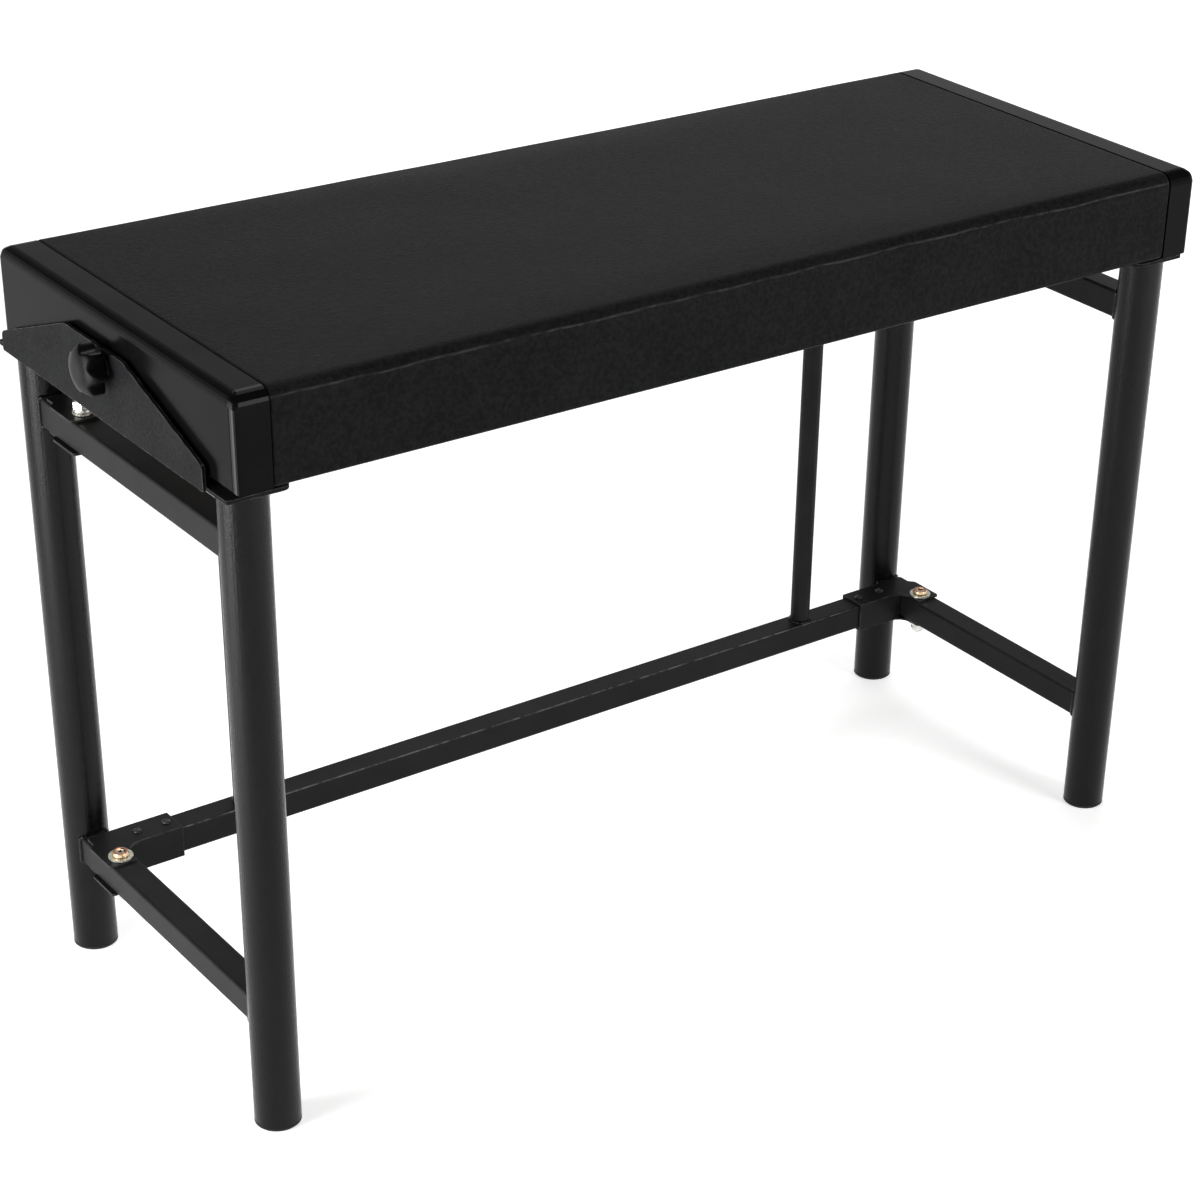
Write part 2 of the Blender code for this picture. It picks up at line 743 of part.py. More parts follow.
def make_pads(side, parent, materials):
    """Rubber pads on the shelf, one over each leg, that keep the seat off the steel."""
    sign = sides_of_bench[side]
    low = shelf_top + fit_gap
    high = seat_bottom - fit_gap
    centre_x = sign * (seat_end_x - cap_width / 2)
    for end, leg_y in (("front", front_leg_y), ("rear", rear_leg_y)):
        inward = pad_inset if end == "front" else -pad_inset
        outline = rounded_box_outline(pad_width / 2, pad_length / 2, pad_edge * 3)
        outline = moved_outline(outline, centre_x, leg_y + inward)
        pad = prism("pad", outline, low, high, "Z", materials["rubber"])
        finish_piece(pad, f"{side}_{end}_pad", (0, 0, 0), None)
        set_parent_in_place(pad, parent)


def knob_outline():
    """The lobed outline, as (turn, radius) round the knob's axis."""
    per_lobe = 8
    count = knob_lobes * per_lobe
    outline = []
    for step in range(count):
        turn = 2 * math.pi * step / count
        hollow = math.sin(knob_lobes * turn / 2) ** 2
        radius = knob_radius - knob_lobe_depth * hollow ** knob_lobe_sharpness
        outline.append((turn + knob_lobe_turn, radius))
    return outline


def knob_face_height(radius):
    """The height of the domed face at that radius."""
    return knob_height - knob_dome * (radius / knob_radius) ** knob_dome_power


def make_knob(side, parent, materials):
    """A lobed knob moulded on its stud. Built along +Z, then turned to point outwards."""
    work = bmesh.new()
    collar_top = knob_collar_height
    rings = [[], [], [], []] + [[] for share in knob_dome_shares]
    for turn, radius in knob_outline():
        places = [(radius - knob_edge, collar_top), (radius, collar_top + knob_edge),
                  (radius, knob_face_height(radius) - knob_edge),
                  (radius - knob_edge / 2, knob_face_height(radius - knob_edge / 2))]
        for share in knob_dome_shares:
            places.append((radius * share, knob_face_height(radius * share)))
        for ring, (reach, height) in zip(rings, places):
            ring.append(work.verts.new((reach * math.cos(turn), reach * math.sin(turn), height)))
    for first, second in zip(rings, rings[1:]):
        for index in range(len(first)):
            after = (index + 1) % len(first)
            work.faces.new((first[index], first[after], second[after], second[index]))
    middle = work.verts.new((0, 0, knob_height))
    for index in range(len(rings[-1])):
        work.faces.new((rings[-1][index], rings[-1][(index + 1) % len(rings[-1])], middle))
    work.faces.new(rings[0])
    knob = make_object("knob", work, materials["plastic"])
    collar = rod("collar", knob_collar_radius, 0, collar_top + knob_edge, stud_sides)
    length = stud_length()
    stud_profile = [
        (0, -length), (stud_diameter / 2 - stud_tip / 2, -length),
        (stud_diameter / 2, -length + stud_tip / 2), (stud_diameter / 2, collar_top), (0, collar_top),
    ]
    stud = turned("stud", stud_profile, stud_sides)
    carve(knob, [collar, stud], "UNION")
    sign = sides_of_bench[side]
    knob.rotation_euler = (0, sign * math.pi / 2, 0)
    finish_piece(knob, f"{side}_knob", knob_place(side), parent)


def knob_place(side):
    """The middle of the knob's seat on its washer."""
    return (sides_of_bench[side] * (plate_outer_x + knob_washer_thickness + 2 * fit_gap),
            seat_y, stud_height)


def stud_length():
    nut_inner = seat_end_x - cap_wall - clamp_gap - clamp_nut_height
    return plate_outer_x + knob_washer_thickness + 2 * fit_gap - nut_inner + stud_tip


def make_knob_washer(side, parent, materials):
    washer = make_washer("washer", knob_washer_diameter, stud_diameter + 2 * fit_gap,
                         knob_washer_thickness, 0, (0, 0, 0), materials["zinc"])
    sign = sides_of_bench[side]
    washer.rotation_euler = (0, sign * math.pi / 2, 0)
    place = (sign * (plate_outer_x + fit_gap), seat_y, stud_height)
    finish_piece(washer, f"{side}_knob_washer", place, parent)


def make_clamp_nut(side, parent, materials):
    """The nut inside the end cap that the stud pulls against the cap's wall."""
    nut = prism("nut", hexagon(clamp_nut_width), 0, clamp_nut_height, "Z", materials["zinc"])
    bore = rod("bore", stud_diameter / 2 + fit_gap, -overrun, clamp_nut_height + overrun, stud_sides)
    carve(nut, [bore])
    sign = sides_of_bench[side]
    nut.rotation_euler = (0, sign * math.pi / 2, 0)
    inner = seat_end_x - cap_wall - clamp_gap - clamp_nut_height
    finish_piece(nut, f"{side}_clamp_nut", (sign * inner, seat_y, stud_height), parent)


def build_bench():
    clear_scene()
    materials = make_materials()
    seat = make_axis("seat_lift_axis", (0, seat_y, seat_bottom))
    for level in bar_heights:
        make_crossbar(level, materials)
    for side, sign in sides_of_bench.items():
        fold = make_axis(f"{side}_fold_axis", (sign * pivot_x, pivot_y, 0))
        make_rod(side, materials)
        for end in ("front", "rear"):
            make_leg(side, end, fold, materials)
        for level in bar_heights:
            make_side_rail(side, level, fold, materials)
            make_hinge_bracket(side, level, materials)
            make_bracket_screws(side, level, materials)
            make_bolt(side, level, materials)
            make_pivot_hardware(side, level, materials)
        make_seat_bracket(side, fold, materials)
        make_pads(side, fold, materials)
        make_clamp_nut(side, fold, materials)
        make_knob_washer(side, fold, materials)
        make_knob(side, fold, materials)
        make_end_cap(side, seat, materials)
    make_cushion(seat, materials)
    make_seat_board(seat, materials)


build_bench()
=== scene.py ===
"""Keyboard bench: materials, upholstery, weld beads, fine fasteners, studio and camera.

The CAD nodes carry the shape. This script gives each a procedural material, puts an upholstered
cushion, moulded knobs, recessed screws and threaded bolts in place of the plain ones, and adds the
weld beads and staples. All lengths are in metres, in the part's frame: X along the bench, Y to the
rear, Z up from the floor.
"""
import math

import bmesh
import bpy
from mathutils import Matrix, Vector, noise


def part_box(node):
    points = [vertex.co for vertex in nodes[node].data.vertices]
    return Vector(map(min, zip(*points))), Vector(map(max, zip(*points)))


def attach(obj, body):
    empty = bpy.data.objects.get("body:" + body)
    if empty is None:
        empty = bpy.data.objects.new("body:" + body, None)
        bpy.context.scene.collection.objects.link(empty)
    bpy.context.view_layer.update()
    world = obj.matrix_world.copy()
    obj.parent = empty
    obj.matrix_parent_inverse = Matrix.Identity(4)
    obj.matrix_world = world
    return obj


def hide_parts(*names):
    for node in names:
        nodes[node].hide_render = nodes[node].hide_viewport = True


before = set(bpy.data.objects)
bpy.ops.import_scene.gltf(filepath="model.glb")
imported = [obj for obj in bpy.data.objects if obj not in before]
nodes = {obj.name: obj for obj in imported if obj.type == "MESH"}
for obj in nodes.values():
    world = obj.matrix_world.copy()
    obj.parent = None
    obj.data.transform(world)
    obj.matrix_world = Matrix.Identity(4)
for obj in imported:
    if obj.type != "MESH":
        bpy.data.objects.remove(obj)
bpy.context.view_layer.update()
SIDES = {"left": -1, "right": 1}

# Camera
# Solved from the four legs, on an image of 1200 x 1200 pixels.
CAMERA_PLACE = Vector((-1.0384, -1.4235, 1.0974))
CAMERA_YAW = math.radians(38.73)
CAMERA_AIM = Vector((0.54298, 0.67698, -0.49687)).normalized()
CAMERA_ROLL = math.radians(2.206)
IMAGE_PIXELS = 1200
FOCAL_PIXELS = 2833.0
IMAGE_CENTRE = (731.6, 765.0)
SENSOR_WIDTH = 36


def make_camera():
    level_right = Vector((math.cos(CAMERA_YAW), -math.sin(CAMERA_YAW), 0))
    level_up = level_right.cross(CAMERA_AIM)
    cosine, sine = math.cos(CAMERA_ROLL), math.sin(CAMERA_ROLL)
    right = cosine * level_right + sine * level_up
    up = cosine * level_up - sine * level_right
    data = bpy.data.cameras.new("camera")
    data.sensor_width = SENSOR_WIDTH
    data.lens = FOCAL_PIXELS / IMAGE_PIXELS * SENSOR_WIDTH
    data.shift_x = -(IMAGE_CENTRE[0] - IMAGE_PIXELS / 2) / IMAGE_PIXELS
    data.shift_y = (IMAGE_CENTRE[1] - IMAGE_PIXELS / 2) / IMAGE_PIXELS
    data.clip_start, data.clip_end = 0.01, 200
    camera = bpy.data.objects.new("camera", data)
    bpy.context.scene.collection.objects.link(camera)
    place = Matrix((right, up, -CAMERA_AIM)).transposed().to_4x4()
    place.translation = CAMERA_PLACE
    camera.matrix_world = place
    bpy.context.scene.camera = camera


# Material helpers
def new_node(tree, kind, inputs, **settings):
    """A new node with its inputs set: each input's name or number goes to a link or to a plain value."""
    made = tree.nodes.new(kind)
    for key, value in settings.items():
        setattr(made, key, value)
    for socket, value in inputs.items():
        if isinstance(value, bpy.types.NodeSocket):
            tree.links.new(value, made.inputs[socket])
        else:
            made.inputs[socket].default_value = value
    return made


def maths(tree, operation, first, second):
    return new_node(tree, "ShaderNodeMath", {0: first, 1: second}, operation=operation).outputs[0]


def span(tree, source, low, high, from_low=0.0, from_high=1.0, shape="LINEAR"):
    """The source, with the stretch from from_low to from_high moved to low to high and capped there."""
    inputs = {"Value": source, "From Min": from_low, "From Max": from_high, "To Min": low, "To Max": high}
    return new_node(tree, "ShaderNodeMapRange", inputs, interpolation_type=shape).outputs["Result"]


class Shader:
    """A node material that is built step by step around one Principled shader."""

    def __init__(self, name, colour, roughness, metallic=0.0, specular=0.5):
        self.material = bpy.data.materials.new(name)
        self.material.use_nodes = True
        self.tree = self.material.node_tree
        self.principled = self.tree.nodes["Principled BSDF"]
        self.set("Base Color", (*colour, 1))
        self.set("Roughness", roughness)
        self.set("Metallic", metallic)
        self.set("Specular IOR Level", specular)
        self.place = self.node("ShaderNodeTexCoord").outputs["Object"]
        self.bumped = None

    def set(self, socket, value):
        self.principled.inputs[socket].default_value = value

    def node(self, kind, inputs=None, **settings):
        return new_node(self.tree, kind, inputs or {}, **settings)

    def stretched(self, scale):
        return self.node("ShaderNodeMapping", {"Vector": self.place, "Scale": scale}).outputs["Vector"]

    def noise(self, per_metre, detail=2.0, roughness=0.5, place=None, distortion=0.0):
        inputs = {"Scale": per_metre, "Detail": detail, "Roughness": roughness,
                  "Distortion": distortion, "Vector": place or self.place}
        return self.node("ShaderNodeTexNoise", inputs).outputs["Fac"]

    def cell_walls(self, per_metre):
        """0 on the walls between irregular cells, and more towards their middles."""
        inputs = {"Scale": per_metre, "Vector": self.place}
        return self.node("ShaderNodeTexVoronoi", inputs, feature="DISTANCE_TO_EDGE").outputs["Distance"]

    def layers(self, per_metre):
        inputs = {"Scale": per_metre, "Distortion": 0.0, "Vector": self.place}
        return self.node("ShaderNodeTexWave", inputs, bands_direction="Z").outputs["Fac"]

    def span(self, source, low, high, from_low=0.0, from_high=1.0):
        return span(self.tree, source, low, high, from_low, from_high)

    def maths(self, operation, first, second):
        return maths(self.tree, operation, first, second)

    def absolute(self, source):
        return self.maths("ABSOLUTE", source, 0)

    def blend(self, share, first, second):
        """Mix two colours, or a link and a colour, by a link."""
        pair = [(*value, 1) if isinstance(value, tuple) else value for value in (first, second)]
        inputs = {0: share, 6: pair[0], 7: pair[1]}
        return self.node("ShaderNodeMix", inputs, data_type="RGBA").outputs[2]

    def component(self, vector, axis):
        return self.node("ShaderNodeSeparateXYZ", {0: vector}).outputs[axis]

    def facing(self, axis):
        """How squarely the surface faces along an axis, either way, from 0 to 1."""
        normal = self.node("ShaderNodeNewGeometry").outputs["Normal"]
        return self.absolute(self.component(normal, axis))

    def sharp_edges(self, width):
        """1 along the piece's edges, found by rounding them by that width, else 0."""
        rounded = self.node("ShaderNodeBevel", {"Radius": width}, samples=6).outputs["Normal"]
        normal = self.node("ShaderNodeNewGeometry").outputs["Normal"]
        along = self.node("ShaderNodeVectorMath", {0: rounded, 1: normal}, operation="DOT_PRODUCT")
        return self.span(along.outputs["Value"], 1.0, 0.0, 0.82, 0.985)

    def painted_edge_highlights(self):
        """A painted highlight: a broken pale line along the edges, where rounded edges catch the light."""
        # A rounded corner along a bar slopes between upright and level, and faces front or rear.
        rise = self.facing("Z")
        bend = self.maths("MULTIPLY", self.span(rise, 0.0, 1.0, 0.45, 0.62),
                          self.span(rise, 1.0, 0.0, 0.78, 0.92))
        bend = self.maths("MULTIPLY", bend, self.span(self.facing("Y"), 0.0, 1.0, 0.3, 0.5))
        edges = self.maths("MAXIMUM", bend, self.sharp_edges(0.0010))
        return self.maths("MULTIPLY", edges, self.span(self.noise(150, 3), 0.10, 1.0, 0.36, 0.62))

    def link(self, source, socket):
        self.tree.links.new(source, self.principled.inputs[socket])

    def colour(self, source):
        self.link(source, "Base Color")

    def rough(self, source):
        self.link(source, "Roughness")

    def relief(self, source, depth, strength):
        """Bump of that depth in metres, laid over what is there already."""
        inputs = {"Strength": strength, "Distance": depth, "Height": source}
        if self.bumped is not None:
            inputs["Normal"] = self.bumped
        self.bumped = self.node("ShaderNodeBump", inputs).outputs["Normal"]
        self.link(self.bumped, "Normal")


# Materials
# Scales are repeats per metre, depths are in metres, and colours are linear.
def hammered_coat():
    """Black powder coat with a coarse orange-peel grain, as on the legs."""
    coat = Shader("coat_legs", (0.003, 0.003, 0.0032), 0.20, specular=0.17)
    patches = coat.noise(45, 3)
    grain = coat.noise(400, 2, 0.6)
    fine = coat.noise(1500, 2)
    shade = coat.maths("ADD", coat.span(patches, 0.0, 0.3, 0.3, 0.7),
                       coat.span(grain, 0.0, 0.7, 0.36, 0.66))
    coat.colour(coat.blend(shade, (0.0006, 0.0007, 0.0008), (0.0038, 0.0040, 0.0042)))
    coat.rough(coat.span(grain, 0.13, 0.23, 0.35, 0.65))
    coat.relief(coat.noise(800, 2, 0.6), 0.00042, 0.60)
    coat.relief(fine, 0.00016, 0.40)
    return coat.material


def smooth_coat():
    """The same powder coat on the bars and sheet parts, where it lies smoother."""
    coat = Shader("coat_bars", (0.012, 0.012, 0.0125), 0.40, specular=0.08)
    patches = coat.noise(30, 3)
    grain = coat.noise(1500, 3)
    swell = coat.noise(240, 2)
    plain = coat.blend(coat.span(patches, 0.0, 1.0, 0.3, 0.7),
                       (0.0078, 0.0080, 0.0084), (0.0112, 0.0114, 0.0119))
    # Painted highlight: a pale colour along the edges.
    coat.colour(coat.blend(coat.painted_edge_highlights(), plain, (0.10, 0.10, 0.103)))
    coat.rough(coat.span(grain, 0.34, 0.46, 0.3, 0.7))
    coat.relief(swell, 0.00012, 0.35)
    coat.relief(coat.noise(760, 2), 0.00016, 0.40)
    coat.relief(grain, 0.00004, 0.45)
    return coat.material


# The height of the fold where the cover bends over the edge of the foam, where a pale line is painted as
# the highlight that the fold catches.
FOLD_DROP = 0.0058
FOLD_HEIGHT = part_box("left_end_cap")[1][2] - FOLD_DROP
FOLD_HALF_WIDTH = 0.0009
FOLD_WANDER = 0.0006


def leather_vinyl():
    """Black vinyl with a fine embossed leather grain and a painted highlight, a pale broken line, along
    its fold.
    """
    vinyl = Shader("vinyl_grain", (0.010, 0.010, 0.0104), 0.50, specular=0.017)
    patches = vinyl.noise(18, 3)
    swell = vinyl.noise(430, 3, 0.6)
    pores = vinyl.noise(1500, 2)
    creases = vinyl.span(vinyl.cell_walls(760), 0.0, 1.0, 0.0, 0.16)
    grain = vinyl.noise(370, 2, 0.6)
    shade = vinyl.maths("ADD", vinyl.span(patches, 0.0, 0.3, 0.3, 0.7),
                        vinyl.span(grain, 0.0, 0.7, 0.36, 0.64))
    plain = vinyl.blend(shade, (0.0058, 0.0061, 0.0065), (0.0130, 0.0133, 0.0140))
    # Painted highlight: a pale, broken line along the fold.
    wander = vinyl.span(vinyl.noise(30, 2), -FOLD_WANDER, FOLD_WANDER, 0.3, 0.7)
    height = vinyl.maths("ADD", vinyl.component(vinyl.place, "Z"), wander)
    off_fold = vinyl.absolute(vinyl.maths("SUBTRACT", height, FOLD_HEIGHT))
    fold = vinyl.maths("MULTIPLY", vinyl.span(off_fold, 1.0, 0.0, 0.0001, FOLD_HALF_WIDTH),
                       vinyl.span(vinyl.noise(120, 3), 0.2, 1.0, 0.36, 0.62))
    vinyl.colour(vinyl.blend(fold, plain, (0.042, 0.042, 0.043)))
    vinyl.rough(vinyl.maths("ADD", vinyl.span(pores, 0.32, 0.44, 0.3, 0.7),
                            vinyl.span(patches, -0.012, 0.012, 0.3, 0.7)))
    vinyl.relief(swell, 0.00040, 0.50)
    vinyl.relief(creases, 0.00008, 0.60)
    vinyl.relief(pores, 0.00006, 0.50)
    return vinyl.material


def cap_corner_highlights(plastic):
    """1 on the rounded upright corners of the end caps, where a highlight is painted, else 0."""
    endways = plastic.facing("X")
    corner = plastic.maths("MULTIPLY", plastic.span(endways, 0.0, 1.0, 0.62, 0.80),
                           plastic.span(endways, 1.0, 0.0, 0.88, 0.97))
    return plastic.maths("MULTIPLY", corner, plastic.span(plastic.facing("Z"), 1.0, 0.0, 0.1, 0.4))


# The knob's edges, where a highlight is painted.
def knob_edge_highlights(plastic):
    return plastic.sharp_edges(0.0008)


def satin_plastic(name, roughness, specular, highlight_mask):
    """Moulded black plastic with a satin skin and faint flow marks, and a painted highlight, a paler
    colour, where the mask lays it.
    """
    plastic = Shader(name, (0.006, 0.006, 0.0062), roughness, specular=specular)
    flow = plastic.noise(22, 3, place=plastic.stretched((0.4, 1.0, 1.0)))
    skin = plastic.noise(3200, 2)
    plain = plastic.blend(plastic.span(flow, 0.0, 1.0, 0.3, 0.7),
                          (0.0024, 0.0024, 0.0027), (0.0034, 0.0034, 0.0037))
    # Painted highlight: a paler colour where the mask lies, on the cap corners or the knob edges.
    plastic.colour(plastic.blend(highlight_mask(plastic), plain, (0.07, 0.07, 0.072)))
    sheen = plastic.span(skin, roughness - 0.05, roughness + 0.05, 0.3, 0.7)
    plastic.rough(plastic.maths("ADD", sheen, plastic.span(flow, -0.03, 0.03, 0.3, 0.7)))
    plastic.relief(flow, 0.00012, 0.25)
    plastic.relief(skin, 0.00002, 0.35)
    return plastic.material


def textured_coat():
    """The coat on the seat brackets: matt, with a fine sandy texture."""
    coat = Shader("coat_brackets", (0.011, 0.011, 0.0113), 0.55, specular=0.03)
    patches = coat.noise(40, 3)
    sand = coat.noise(430, 2, 0.7)
    fine = coat.noise(2200, 2)
    shade = coat.maths("ADD", coat.span(patches, 0.0, 0.35, 0.3, 0.7),
                       coat.span(sand, 0.0, 0.65, 0.34, 0.66))
    plain = coat.blend(shade, (0.0048, 0.0050, 0.0054), (0.0160, 0.0163, 0.0170))
    # Painted highlight: a pale colour along the edges.
    coat.colour(coat.blend(coat.painted_edge_highlights(), plain, (0.10, 0.10, 0.103)))
    coat.rough(coat.span(fine, 0.46, 0.62, 0.3, 0.7))
    coat.relief(sand, 0.00036, 0.5)
    coat.relief(fine, 0.00006, 0.4)
    return coat.material


def matt_rubber():
    rubber = Shader("rubber_matt", (0.010, 0.010, 0.010), 0.62, specular=0.25)
    dust = rubber.noise(160, 4)
    skin = rubber.noise(1800, 2)
    rubber.colour(rubber.blend(rubber.span(dust, 0.0, 1.0, 0.4, 0.75),
                               (0.0080, 0.0080, 0.0080), (0.0160, 0.0160, 0.0165)))
    rubber.rough(rubber.span(skin, 0.55, 0.70, 0.3, 0.7))
    rubber.relief(skin, 0.00006, 0.5)
    return rubber.material


def plated(name, pale, deep, roughness, metallic, flat=False):
    """Plated steel: clouded colour, fine turning marks, uneven gloss. Flat: deep on its level faces, which
    is painted shade where they mirror the dim overhead, and on the yellow zinc also its rose tint.
    """
    metal = Shader(name, pale, roughness, metallic=metallic)
    clouds = metal.noise(260, 4)
    marks = metal.noise(4200, 2, place=metal.stretched((1.0, 1.0, 0.25)))
    shade = metal.span(clouds, 0.0, 1.0, 0.35, 0.68)
    if flat:
        # Painted shade: level faces take the deep colour, and on the yellow zinc also its rose tint.
        level = metal.span(metal.facing("Z"), 0.0, 1.0, 0.90, 0.97)
        shade = metal.maths("MAXIMUM", metal.maths("MULTIPLY", shade, 0.35), level)
    metal.colour(metal.blend(shade, pale, deep))
    metal.rough(metal.span(clouds, roughness - 0.07, roughness + 0.10, 0.3, 0.7))
    metal.relief(marks, 0.00003, 0.5)
    return metal.material


def black_screw():
    steel = Shader("screw_black", (0.012, 0.012, 0.013), 0.34, specular=0.5)
    clouds = steel.noise(420, 3)
    steel.colour(steel.blend(clouds, (0.0085, 0.0085, 0.0090), (0.0190, 0.0190, 0.0195)))
    steel.rough(steel.span(clouds, 0.26, 0.44, 0.3, 0.7))
    steel.relief(steel.noise(3000, 2), 0.00003, 0.4)
    return steel.material


def plywood():
    """Dark plywood: long grain on the faces, and its plies along the edges."""
    wood = Shader("plywood_board", (0.18, 0.125, 0.08), 0.6, specular=0.3)
    grain = wood.noise(38, 5, 0.6, place=wood.stretched((0.06, 1.0, 1.0)), distortion=0.8)
    fibres = wood.noise(900, 3, place=wood.stretched((0.04, 1.0, 1.0)))
    plies = wood.layers(95)
    face = wood.blend(wood.span(grain, 0.0, 1.0, 0.35, 0.65), (0.15, 0.10, 0.062), (0.22, 0.155, 0.10))
    layered = wood.blend(wood.span(plies, 0.0, 1.0, 0.3, 0.7), (0.11, 0.07, 0.042), (0.19, 0.13, 0.085))
    wood.colour(wood.blend(wood.span(wood.facing("Z"), 0.0, 1.0, 0.3, 0.7), layered, face))
    wood.rough(wood.span(fibres, 0.52, 0.72, 0.3, 0.7))
    wood.relief(fibres, 0.00012, 0.6)
    return wood.material


MATERIALS = {
    "legs": hammered_coat(),
    "bars": smooth_coat(),
    "brackets": textured_coat(),
    "vinyl": leather_vinyl(),
    "plastic": satin_plastic("plastic_satin", 0.20, 0.045, cap_corner_highlights),
    "knob": satin_plastic("plastic_knob", 0.34, 0.10, knob_edge_highlights),
    "rubber": matt_rubber(),
    "zinc": plated("zinc_bright", (0.86, 0.86, 0.84), (0.52, 0.52, 0.51), 0.20, 0.90),
    "washer": plated("zinc_washer", (0.96, 0.94, 0.84), (0.72, 0.70, 0.60), 0.24, 0.80, flat=True),
    "brass": plated("zinc_yellow", (0.76, 0.60, 0.36), (0.46, 0.23, 0.16), 0.24, 0.90, flat=True),
    "screw": black_screw(),
    "plywood": plywood(),
}

# The material of each CAD node, by what its name ends with. The first match counts.
NODE_FINISHES = (
    ("_leg", "legs"), ("_seat_bracket", "brackets"), ("_foot", "rubber"), ("_pad", "rubber"),
    ("_end_cap", "plastic"), ("_knob", "knob"), ("seat_board", "plywood"), ("seat_cushion", "vinyl"),
    ("_pivot_bolt", "brass"), ("_screw_inner", "screw"), ("_screw_outer", "screw"),
    ("_nut", "zinc"), ("_knob_washer", "screw"), ("_washer", "washer"), ("", "bars"),
)


def finish_nodes():
    for name, item in nodes.items():
        finish = next(finish for ending, finish in NODE_FINISHES if name.endswith(ending))
        item.data.materials.clear()
        item.data.materials.append(MATERIALS[finish])


# Mesh helpers
def turns_of(sides):
    return [2 * math.pi * step / sides for step in range(sides)]


def add_mesh(name, work, finish, smooth=True):
    bmesh.ops.recalc_face_normals(work, faces=work.faces)
    data = bpy.data.meshes.new(name)
    work.to_mesh(data)
    work.free()
    data.materials.append(MATERIALS[finish])
    for face in data.polygons:
        face.use_smooth = smooth
    item = bpy.data.objects.new(name, data)
    bpy.context.scene.collection.objects.link(item)
    return item


def add_loops(work, loops, closed=False):
    """Skin rows of vertices with quads. Closed also joins the last row to the first."""
    pairs = list(zip(loops, loops[1:]))
    if closed:
        pairs.append((loops[-1], loops[0]))
    for first, second in pairs:
        count = len(first)
        for index in range(count):
            after = (index + 1) % count
            work.faces.new((first[index], first[after], second[after], second[index]))


# Weld beads
BEAD_RADIUS = 0.0015
BEAD_SIDES = 8
BEAD_STEP = 0.00035
BEAD_FEWEST_STEPS = 12
BEAD_SWELL_SHARE = 0.22
BEAD_DRIFT_SHARE = 0.30
RIPPLE_LENGTH = 0.0021
RIPPLE_SHARE = 0.14


def resampled(points, step):
    """Points at an even step round a closed curve."""
    lengths = [(after - point).length for point, after in zip(points, points[1:] + points[:1])]
    total = sum(lengths)
    count = max(BEAD_FEWEST_STEPS, round(total / step))
    made, index, walked = [], 0, 0.0
    for number in range(count):
        target = total * number / count
        while walked + lengths[index] < target:
            walked += lengths[index]
            index += 1
        share = (target - walked) / lengths[index]
        made.append(points[index].lerp(points[(index + 1) % len(points)], share))
    return made, total


def weld_bead(name, points, radius, body):
    """A rippled bead that follows a closed curve."""
    path, total = resampled(points, BEAD_STEP)
    count = len(path)
    ripples = round(total / RIPPLE_LENGTH)
    work = bmesh.new()
    loops = []
    centre = sum(path, Vector()) / count
    for index, point in enumerate(path):
        along = (path[(index + 1) % count] - path[index - 1]).normalized()
        out = point - centre
        out = (out - along * out.dot(along)).normalized()
        side = along.cross(out)
        ripple = abs(math.sin(math.pi * ripples * index / count))
        size = radius * (1 + RIPPLE_SHARE * ripple + BEAD_SWELL_SHARE * noise.noise(point * 260))
        shift = radius * BEAD_DRIFT_SHARE * noise.noise(point * 170 + Vector((7, 1, 3)))
        loop = []
        for turn in turns_of(BEAD_SIDES):
            spot = point + side * shift + (out * math.cos(turn) + side * math.sin(turn)) * size
            loop.append(work.verts.new(spot))
        loops.append(loop)
    add_loops(work, loops, closed=True)
    bead = add_mesh(name, work, "legs")
    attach(bead, body)


BAR_CORNER = 0.0018
BAR_CORNER_STEPS = 5
BAR_SIDE_STEPS = 6
TUBE_STEPS = 72


def middle(node):
    low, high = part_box(node)
    return (Vector(low) + Vector(high)) / 2


def ring(centre, radius):
    return [centre + Vector((math.cos(turn), math.sin(turn), 0)) * radius for turn in turns_of(TUBE_STEPS)]


def bar_outline(half):
    """The rounded square of a bar, as (across, up) from its middle, finely divided."""
    points = []
    flat = half - BAR_CORNER
    for corner in range(4):
        start = math.pi / 2 * corner
        middle_turn = start + math.pi / 4
        for step in range(BAR_CORNER_STEPS + 1):
            turn = start + math.pi / 2 * step / BAR_CORNER_STEPS
            points.append((math.copysign(flat, math.cos(middle_turn)) + BAR_CORNER * math.cos(turn),
                           math.copysign(flat, math.sin(middle_turn)) + BAR_CORNER * math.sin(turn)))
    fine = []
    for point, after in zip(points, points[1:] + points[:1]):
        for step in range(BAR_SIDE_STEPS):
            share = step / BAR_SIDE_STEPS
            fine.append((point[0] + (after[0] - point[0]) * share,
                         point[1] + (after[1] - point[1]) * share))
    return fine


